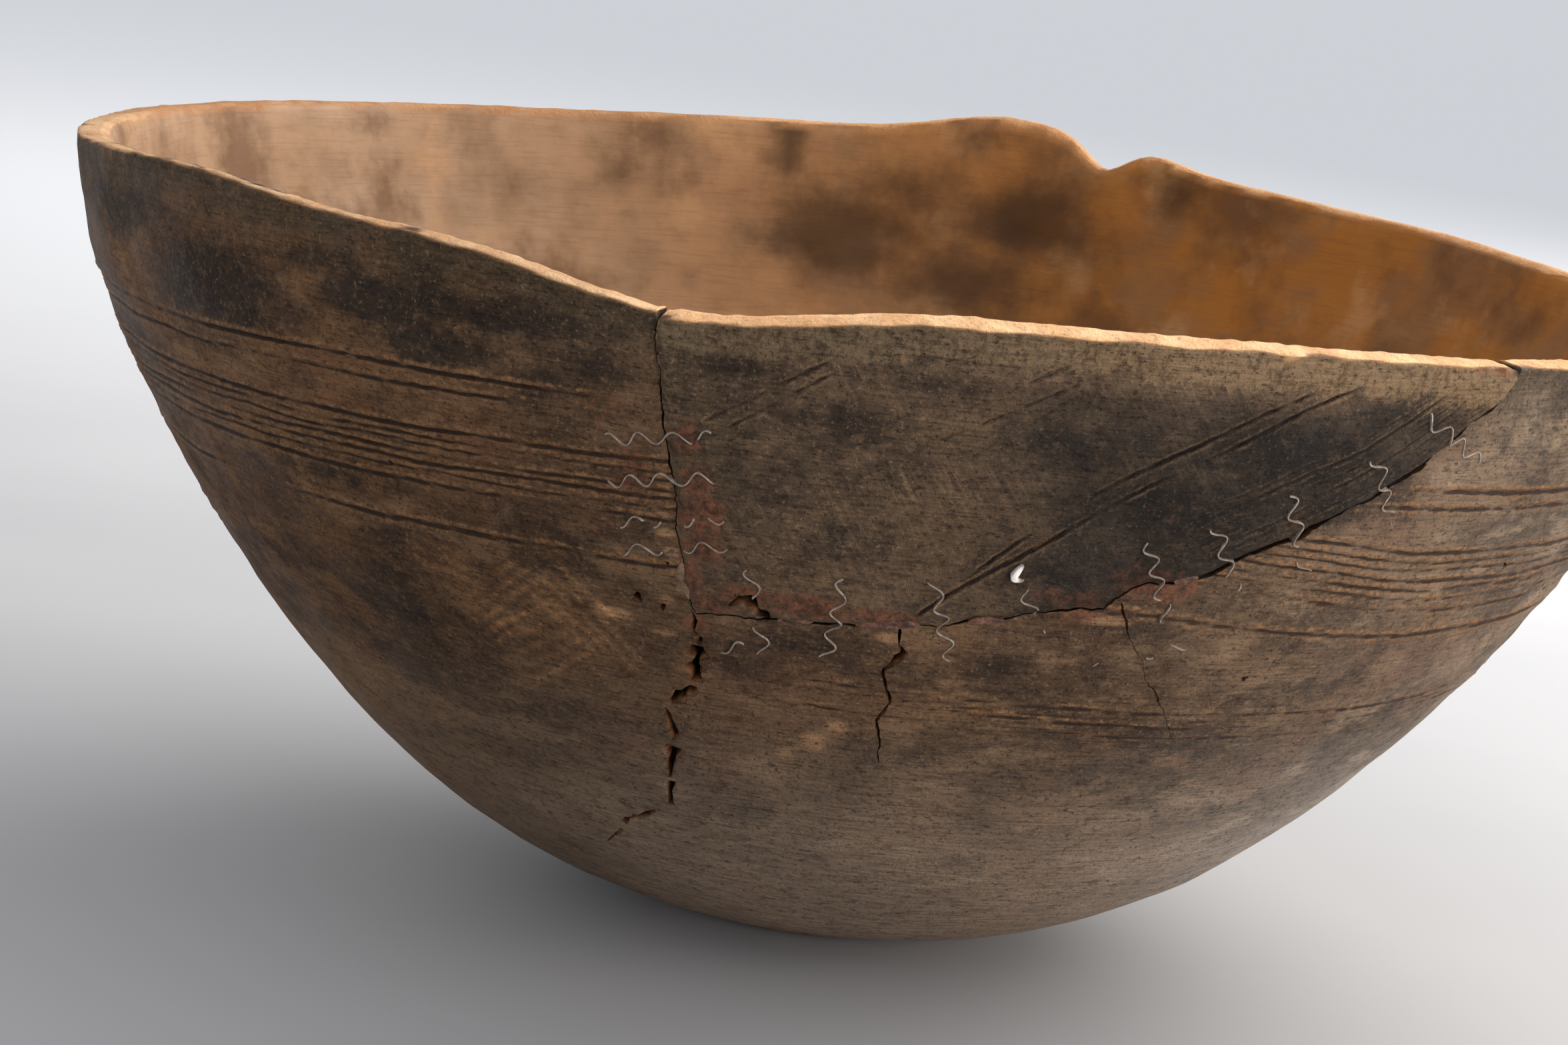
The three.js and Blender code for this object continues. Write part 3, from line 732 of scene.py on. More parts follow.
# Places on the outside rubbed down to paler wood, and old filler beside the left seam.
RUBBED = ((0.2, 78.6, 1.3, 2.2, 1.1), (-1.7, 74, 1.5, 2.6, 1.2), (-3.8, 69.4, 1.5, 2.4, 1.0),
          (-7.3, 64.5, 2.4, 1.2, 0.9), (3.2, 101.3, 1.6, 1.6, 1.0), (17.7, 109.2, 2.4, 1.6, 1.0),
          (-16.7, 98.4, 2.2, 1.8, 0.9), (-13.2, 95.5, 2.0, 1.2, 0.8), (-12.6, 103.4, 0.9, 2.0, 0.9),
          (-12.4, 122.5, 0.7, 1.0, 1.0), (-12.4, 118.6, 0.9, 1.5, 1.1), (-12.1, 114.6, 0.9, 1.6, 1.1),
          (-11.8, 110.2, 0.6, 1.6, 1.0), (-11.4, 106.4, 0.7, 1.5, 1.0),
          (3, 62, 8, 3, 0.5), (20, 58, 10, 4, 0.5),
          (-22, 103, 6, 4, 0.5), (10, 92, 6, 2.5, 0.5), (30, 74, 8, 5, 0.5), (48, 110, 8, 8, 0.5),
          (-50, 132, 8, 8, 0.4), (110, 150, 12, 8, 0.7), (190, 130, 14, 10, 0.6), (255, 90, 12, 12, 0.6))
MARKS = {"stain": INNER_STAINS, "resin": RESIN_SMEARS, "soot": SOOT, "rubbed": RUBBED}


def spots(bearing, height, table):
    total = np.zeros(len(bearing))
    for at, level, wide, tall, strength in table:
        near = hump(turn_between(at, bearing), wide) * hump(height - level, tall)
        total = np.maximum(total, strength * near)
    return total


def mark_wood(piece, relief_of, lean_of):
    """Writes where the wood is outer skin, rim, cut wall or inner face, how it is worn, and where grime and
    painted shade lie in its grooves and painted shade in its cracks and joints.
    """
    points, bearing, height, radius = places_of(piece)
    level = np.clip(height, LOWEST_RELIEF, ABOVE_RIM)
    relief, groove, lip = relief_of(bearing, level)
    below = (outer_radius(level) - radius) * skin_normal(level)[0] + relief
    below = np.where(height < LOWEST_RELIEF, 0, below)
    band = 0.85 + 0.85 * np.maximum(lean_of(bearing), 0) + 0.22 * field(points, 5, 35)
    on_rim = ease(rim_height(bearing) - height, band + 0.4, band - 0.25)
    inside = ease(below / wall_thickness(height), 0.62, 0.82)
    inside = np.where((height > BASE_THICKNESS - 1) & (radius < INNER_FLOOR_RADIUS), 1, inside)
    wall = ease(below, 0.35, 0.9) * (1 - inside) * (1 - on_rim)
    outside = 1 - inside
    # groove holds grime and painted shade in the carved lines; deep and seam hold painted shade in cracks and
    # joints.
    masks = {"groove": groove * outside, "lip": lip * outside, "hatch": hatch(bearing, level) * outside,
             "inside": inside, "rim": on_rim, "wall": wall, "deep": ease(below, 0.6, 3) * outside,
             "seam": hump(seam_distance(bearing, height), 2.2), "below_rim": rim_height(bearing) - height}
    masks |= {name: spots(bearing, height, table) for name, table in MARKS.items()}
    for name, values in masks.items():
        set_mask(piece, name, values)


# Edges that turn by more than this many degrees stay sharp.
WOOD_CREASE = 50
STEEL_CREASE = 40
FILLER_CREASE = 60


def smooth_with_creases(piece, crease_degrees):
    piece.data.polygons.foreach_set("use_smooth", [True] * len(piece.data.polygons))
    piece.data.set_sharp_from_angle(angle=math.radians(crease_degrees))


# ---- fasteners and fillers ----

FASTENER_LENGTH = 22.2
FASTENER_PITCH = 6.9
FASTENER_WAVE = 1.4
FASTENER_GAUGE = 0.37
FASTENER_DEPTH = 5.5
FASTENER_PROUD = 0.22
FASTENER_POINTS = 121
# The strip's section: the share of its half gauge sideways, and the share of its depth down.
FASTENER_SECTION = ((-1, 1), (1, 1), (1, 0.2), (1, 0.03), (0.62, 0), (-0.62, 0), (-1, 0.03), (-1, 0.2))
# Each fastener: bearing and height of its middle, its slope, and where along it one crest lies.
FASTENERS = {
    "left_1": (-12.6, 138.7, 12, -3.7), "left_2": (-12.6, 130, 12, 0.7),
    "left_3": (-12, 121.6, 13, -0.2), "left_4": (-11.9, 115.6, 13, -0.3),
    "lower_1": (-6.2, 103.8, -82, -6.2), "lower_2": (-0.8, 104.6, -95, 1.1),
    "lower_3": (6.5, 106.1, -73, -0.7), "lower_4": (12.1, 111.5, -65, 1.3),
    "diagonal_1": (20.3, 118.6, -62, 0.4), "diagonal_2": (24.7, 123.3, -57, -0.2),
    "diagonal_3": (28.8, 130.7, -58, -2.4), "diagonal_4": (34.1, 140, -52, 0.0),
    "diagonal_5": (38.2, 151.6, -26, 2.4), "crack_left": (-10.9, 93.3, 14, 10.0),
    "crack_right": (20.9, 100.4, 26, 0.2),
}
# Stretches of a fastener that are driven under the skin: from, to, and how deep.
SUNKEN = {
    "left_1": ((7, 7.6, 0.5),), "left_3": ((-5.4, -4.4, 0.7), (-2, 2.3, 1.0), (5.4, 7.6, 0.6)),
    "left_4": ((-2.2, 1.6, 1.4),), "lower_1": ((-3.4, 3.4, 5.2),),
    "lower_4": ((-6.6, -4.4, 0.35), (2.2, 7.6, 0.5), (9, 12, 0.6)), "diagonal_1": ((5.6, 6.8, 0.3),),
    "diagonal_2": ((3, 5.8, 1.1), (8.2, 12, 1.4)), "diagonal_3": ((3.2, 6.8, 0.9),),
    "diagonal_4": ((6.6, 8.2, 0.6), (9.4, 12, 0.8)), "crack_left": ((-12, 5.2, 5.2),),
    "crack_right": ((-12, -8.6, 0.4), (-6.6, 2.4, 0.35), (4.4, 7.6, 0.35)),
}
# One fastener has a crest that was hammered over: it stands proud and wide, with a painted highlight.
BENT_FASTENER = "lower_4"
BENT_AT = -9.2
BENT_SPREAD = 2.0
BENT_PROUD = 1.1
BENT_WIDER = 2.4


def in_patch(bearing, height):
    """Whether places on the skin lie within the patch's outline."""
    inside = np.zeros(np.shape(bearing), bool)
    for (b0, h0), (b1, h1) in zip(PATCH_OUTLINE, PATCH_OUTLINE[1:] + PATCH_OUTLINE[:1]):
        if h0 == h1:
            continue
        crosses = (h0 > height) != (h1 > height)
        inside ^= crosses & (bearing < b0 + (b1 - b0) * (height - h0) / (h1 - h0))
    return inside


def wood_surface(bearing, height):
    """How proud the wood stands at places on the skin, bridged over narrow grooves."""
    patch, body = patch_relief(bearing, height)[0], body_relief(bearing, height)[0]
    relief = np.where(in_patch(bearing, height), patch, body)
    reach = 5
    padded = np.pad(relief, 2 * reach, "edge")
    windows = np.lib.stride_tricks.sliding_window_view(padded, 2 * reach + 1)
    return np.convolve(windows.max(axis=1), np.ones(2 * reach + 1) / (2 * reach + 1), "valid")


def on_skin(centre, slope, along, across):
    """Bearings and heights of points along and across a sloping line on the skin."""
    bearing, height = centre
    turn = math.radians(slope)
    sideways = along * math.cos(turn) - across * math.sin(turn)
    upward = along * math.sin(turn) + across * math.cos(turn)
    level = height + upward * float(skin_normal(height)[0])
    return bearing + np.degrees(sideways / outer_radius(level)), level


def fastener(name, bearing, height, slope, crest):
    """A corrugated strip of steel, driven in on edge so that only its wavy top shows."""
    seed = 300 + len(name) + round(height)
    along = np.linspace(-FASTENER_LENGTH / 2, FASTENER_LENGTH / 2, FASTENER_POINTS)
    line = np.stack([along, 0 * along, 0 * along], axis=1)
    phase = 2 * math.pi * (along - crest) / FASTENER_PITCH + 0.35 * field(line, 6, seed + 2)
    across = FASTENER_WAVE * np.cos(phase) * (1 + 0.1 * field(line, 5, seed + 3))
    steepness = np.gradient(across, along)
    length = np.sqrt(1 + steepness ** 2)
    bent = hump(along - BENT_AT, BENT_SPREAD) if name == BENT_FASTENER else 0 * along
    top = wood_surface(*on_skin((bearing, height), slope, along, across))
    top = top + FASTENER_PROUD + 0.08 * field(line, 3.2, seed) + BENT_PROUD * bent
    for start, end, deep in SUNKEN.get(name, ()):
        top = top - (deep + FASTENER_PROUD) * ease(along, start - 0.5, start) * ease(along, end + 0.5, end)
    half = FASTENER_GAUGE / 2 * (1 + 0.12 * field(line, 1.6, seed + 1) + BENT_WIDER * bent)
    below_top = top + FASTENER_DEPTH
    rows = []
    for side, down in FASTENER_SECTION:
        beside = along - side * half * steepness / length
        place = on_skin((bearing, height), slope, beside, across + side * half / length)
        rows.append(skin_point(*place, top - down * below_top))
    faces = strip_faces(len(rows), len(along))
    piece = build_mesh(f"fastener_{name}_visual", np.concatenate(rows), faces)
    # Where the painted highlight lies on the bent crest.
    set_mask(piece, "painted_highlight", np.tile(bent, len(rows)))
    smooth_with_creases(piece, STEEL_CREASE)
    return piece


# Each filler: its material, width, and the run of (bearing, height) that it fills.
FILLERS = {
    "putty_left": ("putty", 2.4, ((-11.4, 112.6), (-11.4, 108), (-11, 104.4))),
    "resin_lower_1": ("resin", 2.0, ((-4.8, 102.5), (-3.5, 102.7), (-2.3, 102.9))),
    "resin_lower_2": ("resin", 2.0, ((0.6, 103.6), (3, 104.4), (5, 105.1))),
    "resin_lower_3": ("resin", 1.8, ((8.2, 106.7), (9.4, 107.3), (10.6, 108))),
    "resin_diagonal": ("resin", 2.0, ((21.4, 119), (22.3, 119.6), (23, 120.2))),
}
FILLER_PROUD = 0.4
FILLER_DEPTH = 3
FILLER_STEP = 0.25
# A bead's section: a round top, then the share of its half width and the depth of its root.
FILLER_SECTION = tuple((math.cos(turn), math.sin(turn)) for turn in np.linspace(math.pi, 0, 13)) + (
    (0.7, -FILLER_DEPTH / 2), (0.3, -FILLER_DEPTH), (-0.3, -FILLER_DEPTH), (-0.7, -FILLER_DEPTH / 2))


def filler(name, width, run):
    """A lumpy bead pressed into a seam, with ends that taper out."""
    seed = 400 + len(name) + round(width * 10)
    dense = dense_run(run, FILLER_STEP)
    per_degree = np.radians(1) * outer_radius(dense[:, 1])
    flat = np.stack([dense[:, 0] * per_degree, dense[:, 1]], axis=1)
    across = across_run(flat)
    base = round_point(dense[:, 0], outer_radius(dense[:, 1]), dense[:, 1])
    share = np.linspace(0, 1, len(dense))
    taper = np.clip(np.sqrt(np.clip(4 * share * (1 - share), 0, 1)), 0.12, 1)
    rows = []
    for side, up in FILLER_SECTION:
        half = width / 2 * taper * (1 + 0.25 * field(base + side, 2.2, seed))
        place = flat + across * (side * half)[:, None]
        lumps = FILLER_PROUD * up * taper if up > 0 else up * taper
        lumps = lumps + 0.18 * field(base + (0, 0, 2.0 * side), 1.4, seed + 1) * (up >= 0) - 0.1
        rows.append(skin_point(place[:, 0] / per_degree, place[:, 1], lumps))
    faces = [face[::-1] for face in strip_faces(len(rows), len(dense))]
    piece = build_mesh(f"{name}_visual", np.concatenate(rows), faces)
    smooth_with_creases(piece, FILLER_CREASE)
    return piece


# ---- materials ----

class Nodes:
    """Writes a material's node tree in short calls; each call gives the socket to use next."""

    def __init__(self, name):
        self.material = bpy.data.materials.new(name)
        self.material.use_nodes = True
        self.tree = self.material.node_tree
        self.tree.nodes.clear()
        self.place = self.add("ShaderNodeTexCoord").outputs["Object"]

    def add(self, kind, **settings):
        node = self.tree.nodes.new(kind)
        for key, value in settings.items():
            setattr(node, key, value)
        return node

    def feed(self, socket, value):
        if isinstance(value, bpy.types.NodeSocket):
            self.tree.links.new(value, socket)
        elif isinstance(value, tuple) and len(value) == 3 and socket.type == "RGBA":
            socket.default_value = (*value, 1)
        else:
            socket.default_value = value

    def math(self, operation, first, second=0.0, clamp=False):
        node = self.add("ShaderNodeMath", operation=operation, use_clamp=clamp)
        self.feed(node.inputs[0], first)
        self.feed(node.inputs[1], second)
        return node.outputs[0]

    def mix(self, share, first, second, how="MIX"):
        node = self.add("ShaderNodeMix", data_type="RGBA", blend_type=how)
        self.feed(node.inputs[0], share)
        self.feed(node.inputs[6], first)
        self.feed(node.inputs[7], second)
        return node.outputs[2]

    def step(self, value, low, high, to_low=0.0, to_high=1.0):
        node = self.add("ShaderNodeMapRange", interpolation_type="SMOOTHSTEP")
        for socket, setting in zip(node.inputs, (value, low, high, to_low, to_high)):
            self.feed(socket, setting)
        return node.outputs[0]

    def cover(self, colour, value, low, high, most, tone):
        """A tone laid over a colour where a value passes from low to high, at most by a share."""
        return self.mix(self.step(value, low, high, 0, most), colour, tone)

    def noise(self, size, stretch=(1, 1, 1), detail=3.0, rough=0.55, turn=0.0, seed=0, warp=0.0):
        """Noise of about a size in millimetres, drawn out along each axis by stretch."""
        mapping = self.add("ShaderNodeMapping", vector_type="TEXTURE")
        mapping.inputs["Scale"].default_value = [size * MM * part for part in stretch]
        mapping.inputs["Rotation"].default_value = (0, math.radians(turn), 0)
        mapping.inputs["Location"].default_value = (seed * 0.731, seed * 0.377, seed * 0.519)
        self.feed(mapping.inputs["Vector"], self.place)
        node = self.add("ShaderNodeTexNoise")
        self.feed(node.inputs["Vector"], mapping.outputs[0])
        settings = (("Scale", 1.0), ("Detail", detail), ("Roughness", rough), ("Distortion", warp))
        for key, value in settings:
            node.inputs[key].default_value = value
        return node.outputs[0]

    def mask(self, name):
        return self.add("ShaderNodeAttribute", attribute_name=name).outputs["Fac"]

    def ragged(self, name, noise, amount):
        """A mask whose edges are broken up by noise."""
        return self.math("ADD", self.mask(name), self.math("MULTIPLY", noise, amount))

    def part(self, axis):
        node = self.add("ShaderNodeSeparateXYZ")
        self.feed(node.inputs[0], self.place)
        return node.outputs[axis]

    def finish(self, colour, roughness, height, relief, metallic=0.0, specular=0.5):
        bump = self.add("ShaderNodeBump")
        bump.inputs["Strength"].default_value = 1.0
        bump.inputs["Distance"].default_value = relief * MM
        self.feed(bump.inputs["Height"], height)
        shader = self.add("ShaderNodeBsdfPrincipled")
        self.feed(shader.inputs["Base Color"], colour)
        self.feed(shader.inputs["Roughness"], roughness)
        self.feed(shader.inputs["Metallic"], metallic)
        self.feed(shader.inputs["Specular IOR Level"], specular)
        self.feed(shader.inputs["Normal"], bump.outputs[0])
        output = self.add("ShaderNodeOutputMaterial")
        self.feed(output.inputs["Surface"], shader.outputs[0])
        return self.material


def layer_sum(nodes, layers):
    """The sum of layers, each being its share and its value."""
    total = 0.0
    for share, value in layers:
        total = nodes.math("ADD", nodes.math("MULTIPLY", value, share), total)
    return total


FIBRES = (1, 1, 0.05)
SHORT_FIBRES = (1, 1, 0.25)
# The darker and the paler colour of torn wood beside a carved line.
BODY_TORN = ((0.1, 0.048, 0.02), (0.28, 0.145, 0.065))
PATCH_TORN = ((0.08, 0.047, 0.025), (0.22, 0.133, 0.07))
# Painted shade: a tint that darkens the right side of the patch below its pale band.
PATCH_RIGHT_PAINTED_SHADE = (0.44, 0.45, 0.47)


def tinted(nodes, colour, share, tint):
    return nodes.mix(share, colour, nodes.mix(1.0, colour, tint, "MULTIPLY"))


def tinted_along(nodes, colour, axis, start, end, tint):
    """A tint that grows along an axis, from a start to an end in metres."""
    return tinted(nodes, colour, nodes.step(nodes.part(axis), start, end), tint)


def darkened(nodes, colour, share):
    return tinted(nodes, colour, share, (0.4, 0.37, 0.35))


def rim_colour(nodes):
    """Raw, light orange-tan wood with darker pores, amber along its outer edge, and painted shade on its left
    and far parts.
    """
    tone = nodes.step(nodes.noise(9, detail=4, seed=31), 0.35, 0.65)
    colour = nodes.mix(tone, (0.78, 0.43, 0.21), (0.95, 0.6, 0.33))
    # Painted light and shade: a little paler from the front rightwards, darker on the far left, and darker
    # and redder towards the back.
    colour = tinted_along(nodes, colour, 0, -0.05, -0.02, (1.06, 1.08, 1.08))
    colour = tinted_along(nodes, colour, 0, -0.04, -0.06, (0.72, 0.73, 0.75))
    colour = tinted_along(nodes, colour, 1, -0.04, 0.06, (0.7, 0.6, 0.52))
    colour = nodes.cover(colour, nodes.noise(1.6, detail=3, seed=32), 0.57, 0.7, 0.35, (0.36, 0.17, 0.075))
    colour = nodes.cover(colour, nodes.noise(26, seed=33), 0.6, 0.76, 0.4, (0.32, 0.17, 0.085))
    return nodes.cover(colour, nodes.mask("rim"), 0.85, 0.5, 0.7, (0.46, 0.2, 0.065))


def inside_colour(nodes):
    """The inside, with painted light and shade: pinkish tan on the lit left side, deep orange-brown on the
    shaded right side, with dark blotches.
    """
    # Painted light and shade: the left of the inside is painted as lit, the right as in shade.
    side = nodes.step(nodes.part(0), -0.15, 0.09)
    colour = nodes.mix(side, (0.41, 0.255, 0.15), (0.4, 0.155, 0.025))
    greyer = nodes.noise(30, detail=4, seed=46)
    colour = nodes.cover(colour, greyer, 0.47, 0.63, 0.55, (0.23, 0.13, 0.068))
    blotch = nodes.noise(40, detail=5, rough=0.6, seed=41)
    colour = nodes.cover(colour, blotch, 0.48, 0.68, 0.75, (0.12, 0.052, 0.019))
    pale = nodes.noise(20, detail=4, seed=47)
    colour = nodes.cover(colour, pale, 0.55, 0.72, 0.45, (0.56, 0.31, 0.14))
    streak = nodes.noise(13, FIBRES, detail=4, seed=43)
    colour = nodes.cover(colour, streak, 0.45, 0.72, 0.22, (0.17, 0.075, 0.028))
    stain = nodes.ragged("stain", nodes.noise(17, detail=6, rough=0.65, seed=44), 1.3)
    return nodes.cover(colour, stain, 0.6, 1.6, 0.85, (0.062, 0.028, 0.009))


def cut_colour(nodes):
    """Torn wood in a crack: rust orange at the mouth, with painted shade that makes it nearly black further
    in and in the joints.
    """
    tear = nodes.step(nodes.noise(2.2, seed=51), 0.35, 0.65)
    torn = nodes.mix(tear, (0.11, 0.04, 0.014), (0.34, 0.15, 0.055))
    # Painted shade in the joints.
    torn = nodes.mix(nodes.math("MULTIPLY", nodes.mask("seam"), 0.9), torn, (0.025, 0.012, 0.006))
    # Painted shade deeper in a crack.
    return nodes.mix(nodes.mask("deep"), torn, (0.006, 0.003, 0.002))


def under_rim(nodes, size, spread, seed):
    """Distance below the rim, with a ragged lower limit."""
    broken = nodes.noise(size, detail=5, rough=0.62, seed=seed)
    return nodes.ragged("below_rim", broken, spread)


def outer_body_colour(nodes):
    """Old brown skin: olive under the rim and redder in patches, with painted light and shade: paler and
    bluer low down and on the right, warmer on the left, darker low on the left.
    """
    tone = nodes.step(nodes.noise(46, (1, 1, 0.6), detail=5, rough=0.6, seed=1), 0.38, 0.62)
    colour = nodes.mix(tone, (0.056, 0.031, 0.0158), (0.122, 0.068, 0.035))
    smudge = nodes.noise(19, (1, 1, 0.5), detail=6, rough=0.62, seed=2)
    colour = nodes.cover(colour, smudge, 0.5, 0.66, 0.6, (0.2, 0.118, 0.062))
    dark = nodes.noise(29, (1, 1, 0.55), detail=6, rough=0.65, seed=3)
    colour = nodes.cover(colour, dark, 0.52, 0.64, 0.7, (0.026, 0.0155, 0.0098))
    red = nodes.noise(33, detail=4, seed=21)
    colour = nodes.cover(colour, red, 0.5, 0.66, 0.5, (0.115, 0.053, 0.026))
    # Painted reflected light from the floor: paler and bluer low down.
    low = nodes.step(nodes.part(2), 0.09, 0.02)
    colour = tinted(nodes, colour, low, (1.6, 2, 2.6))
    colour = nodes.mix(nodes.math("MULTIPLY", low, 0.6), colour, (0.29, 0.21, 0.15))
    # Painted light: paler and bluer towards the right.
    colour = tinted_along(nodes, colour, 0, 0.04, 0.14, (1.56, 1.88, 2.3))
    # Painted shade: darker low on the left.
    left, low_left_painted_shade = nodes.step(nodes.part(0), -0.02, -0.07), nodes.step(nodes.part(2), 0.115, 0.085)
    colour = tinted(nodes, colour, nodes.math("MULTIPLY", left, low_left_painted_shade), (0.8, 0.76, 0.7))
    # Painted light: warmer and paler towards the left.
    colour = tinted_along(nodes, colour, 0, -0.05, -0.12, (1.42, 1.24, 0.95))
    return nodes.cover(colour, under_rim(nodes, 14, 22, 4), 28, 13, 0.8, (0.06, 0.041, 0.0225))


def outer_patch_colour(nodes):
    """Scraped brown skin with a pale, freckled band under the rim."""
    tone = nodes.step(nodes.noise(34, (1, 1, 0.7), detail=5, rough=0.6, turn=-27, seed=61), 0.38, 0.62)
    colour = nodes.mix(tone, (0.052, 0.034, 0.021), (0.108, 0.067, 0.038))
    smudge = nodes.noise(14, (1, 1, 0.5), detail=6, rough=0.62, turn=-27, seed=62)
    colour = nodes.cover(colour, smudge, 0.5, 0.68, 0.5, (0.18, 0.112, 0.063))
    scrape_area = nodes.step(nodes.noise(30, seed=67), 0.42, 0.6)
    scrape = nodes.step(nodes.noise(12, (0.07, 1, 1), detail=4, turn=-32, seed=64), 0.5, 0.64, 0, 0.62)
    colour = nodes.mix(nodes.math("MULTIPLY", scrape, scrape_area), colour, (0.185, 0.115, 0.062))
    dark_scrape = nodes.noise(16, (0.12, 1, 1), detail=5, turn=-32, seed=68)
    colour = nodes.cover(colour, dark_scrape, 0.53, 0.7, 0.45, (0.03, 0.019, 0.012))
    side = nodes.step(nodes.part(0), -0.01, 0.07)
    pale = nodes.mix(side, (0.135, 0.092, 0.052), (0.2, 0.127, 0.066))
    freckles = nodes.step(nodes.noise(1.5, (1, 1, 1.6), detail=4, rough=0.65, seed=69), 0.5, 0.6, 0, 0.7)
    pale = tinted(nodes, pale, freckles, (0.45, 0.4, 0.36))
    return nodes.cover(colour, under_rim(nodes, 7, 12, 63), 15.4, 13.8, 0.95, pale)


def wood_grain(nodes):
    """The noises that both the colour and the relief of the wood follow."""
    return {"fibres": nodes.noise(9, FIBRES, detail=4, rough=0.6, seed=5),
            "mottle": nodes.noise(3.4, (1, 1, 0.7), detail=6, rough=0.75, seed=22),
            "speckle": nodes.noise(0.9, detail=3, rough=0.7, seed=6),
            "pores": nodes.noise(1.5, (1, 1, 0.5), detail=2, seed=7),
            "torn": nodes.noise(1.3, detail=5, rough=0.7, seed=8),
            "clotted": nodes.noise(2.4, detail=6, rough=0.75, seed=9)}


def aged_colour(nodes, colour, grain):
    """A skin's colour with soot, rubbed places, fibres, mottling, specks, pores and hatching."""
    patina = nodes.noise(11, detail=6, rough=0.68, seed=25)
    soot = nodes.ragged("soot", patina, 1.5)
    colour = nodes.cover(colour, soot, 0.95, 1.55, 0.85, (0.021, 0.013, 0.008))
    rubbed = nodes.ragged("rubbed", patina, -1.2)
    colour = nodes.cover(colour, rubbed, -0.25, 0.35, 0.85, (0.31, 0.175, 0.09))
    colour = tinted(nodes, colour, nodes.step(grain["fibres"], 0.5, 0.36, 0, 0.35), (1.6, 1.55, 1.5))
    colour = darkened(nodes, colour, nodes.step(grain["fibres"], 0.5, 0.66, 0, 0.55))
    colour = darkened(nodes, colour, nodes.step(grain["mottle"], 0.5, 0.66, 0, 0.7))
    colour = nodes.cover(colour, grain["mottle"], 0.48, 0.34, 0.35, (0.22, 0.13, 0.07))
    colour = nodes.cover(colour, grain["speckle"], 0.58, 0.7, 0.45, (0.3, 0.19, 0.115))
    colour = darkened(nodes, colour, nodes.step(grain["speckle"], 0.46, 0.34, 0, 0.6))
    colour = nodes.cover(colour, grain["pores"], 0.62, 0.7, 0.6, (0.018, 0.01, 0.006))
    return tinted(nodes, colour, nodes.math("MULTIPLY", nodes.mask("hatch"), 0.8), (2.3, 2.1, 1.85))


def carved_colour(nodes, colour, grain, torn_colours):
    """A skin's colour with torn wood beside the carved lines, grooves darkened by grime and painted shade,
    and smeared resin.
    """
    raw = nodes.mix(nodes.step(grain["torn"], 0.35, 0.65), *torn_colours)
    colour = nodes.cover(colour, nodes.ragged("lip", grain["torn"], 1.2), 0.74, 1.3, 0.9, raw)
    # Grime and painted shade in the grooves.
    groove = nodes.ragged("groove", grain["torn"], 0.8)
    colour = nodes.cover(colour, groove, 0.6, 1.05, 0.9, (0.017, 0.009, 0.0055))
    clotting = nodes.step(grain["clotted"], 0.4, 0.62)
    red_brown = nodes.mix(clotting, (0.05, 0.02, 0.011), (0.185, 0.072, 0.037))
    return nodes.cover(colour, nodes.ragged("resin", grain["clotted"], 1.6), 1.05, 1.5, 0.85, red_brown)


def wood_height(nodes, grain):
    """The fine relief of the wood; the inside is calmer than the skin."""
    fine = nodes.noise(3.5, SHORT_FIBRES, detail=5, rough=0.65, seed=11)
    skin = layer_sum(nodes, (
        (0.6, fine), (0.25, grain["fibres"]), (0.5, grain["speckle"]),
        (-0.35, nodes.step(grain["pores"], 0.62, 0.7)), (0.5, grain["mottle"])))
    calmer_inside = nodes.step(nodes.mask("inside"), 0, 1, 1.0, 0.12)
    raw_end = nodes.noise(1.3, detail=4, rough=0.7, seed=13)
    return layer_sum(nodes, (
        (1.0, nodes.math("MULTIPLY", skin, calmer_inside)),
        (1.1, nodes.math("MULTIPLY", raw_end, nodes.mask("rim"))),
        (0.9, nodes.math("MULTIPLY", grain["torn"], nodes.mask("lip"))),
        (0.9, nodes.math("MULTIPLY", grain["clotted"], nodes.mask("resin")))))


def wood(name, skin_colour, torn_colours, right_shade=None):
    nodes = Nodes(name)
    grain = wood_grain(nodes)
    colour = aged_colour(nodes, skin_colour(nodes), grain)
    colour = carved_colour(nodes, colour, grain, torn_colours)
    if right_shade:
        # Painted shade on the right side of the skin, below the pale band under the rim.
        right, low = nodes.step(nodes.part(0), 0.005, 0.05), nodes.step(nodes.mask("below_rim"), 9, 14)
        colour = tinted(nodes, colour, nodes.math("MULTIPLY", right, low), right_shade)
    for mask, colour_of in (("inside", inside_colour), ("rim", rim_colour), ("wall", cut_colour)):
        colour = nodes.mix(nodes.mask(mask), colour, colour_of(nodes))
    gloss = nodes.step(nodes.noise(22, detail=4, seed=10), 0.35, 0.65, 0.54, 0.74)
    roughness = nodes.math("MAXIMUM", gloss, nodes.math("MULTIPLY", nodes.mask("rim"), 0.9))
    return nodes.finish(colour, roughness, wood_height(nodes, grain), 0.6, specular=0.19)


def steel():
    nodes = Nodes("steel")
    rust = nodes.step(nodes.noise(4, detail=4, seed=81), 0.45, 0.62)
    tone = nodes.step(nodes.noise(1.3, seed=82), 0.35, 0.65)
    colour = nodes.mix(tone, (0.23, 0.188, 0.155), (0.41, 0.35, 0.3))
    colour = nodes.mix(nodes.math("MULTIPLY", rust, 0.65), colour, (0.17, 0.1, 0.063))
    # Painted highlight on the bent crest.
    colour = nodes.mix(nodes.step(nodes.mask("painted_highlight"), 0.3, 0.7), colour, (0.85, 0.82, 0.76))
    roughness = nodes.step(rust, 0, 1, 0.45, 0.8)
    metallic = nodes.step(rust, 0, 1, 0.35, 0.1)
    return nodes.finish(colour, roughness, nodes.noise(0.7, detail=4, seed=83), 0.15, metallic)


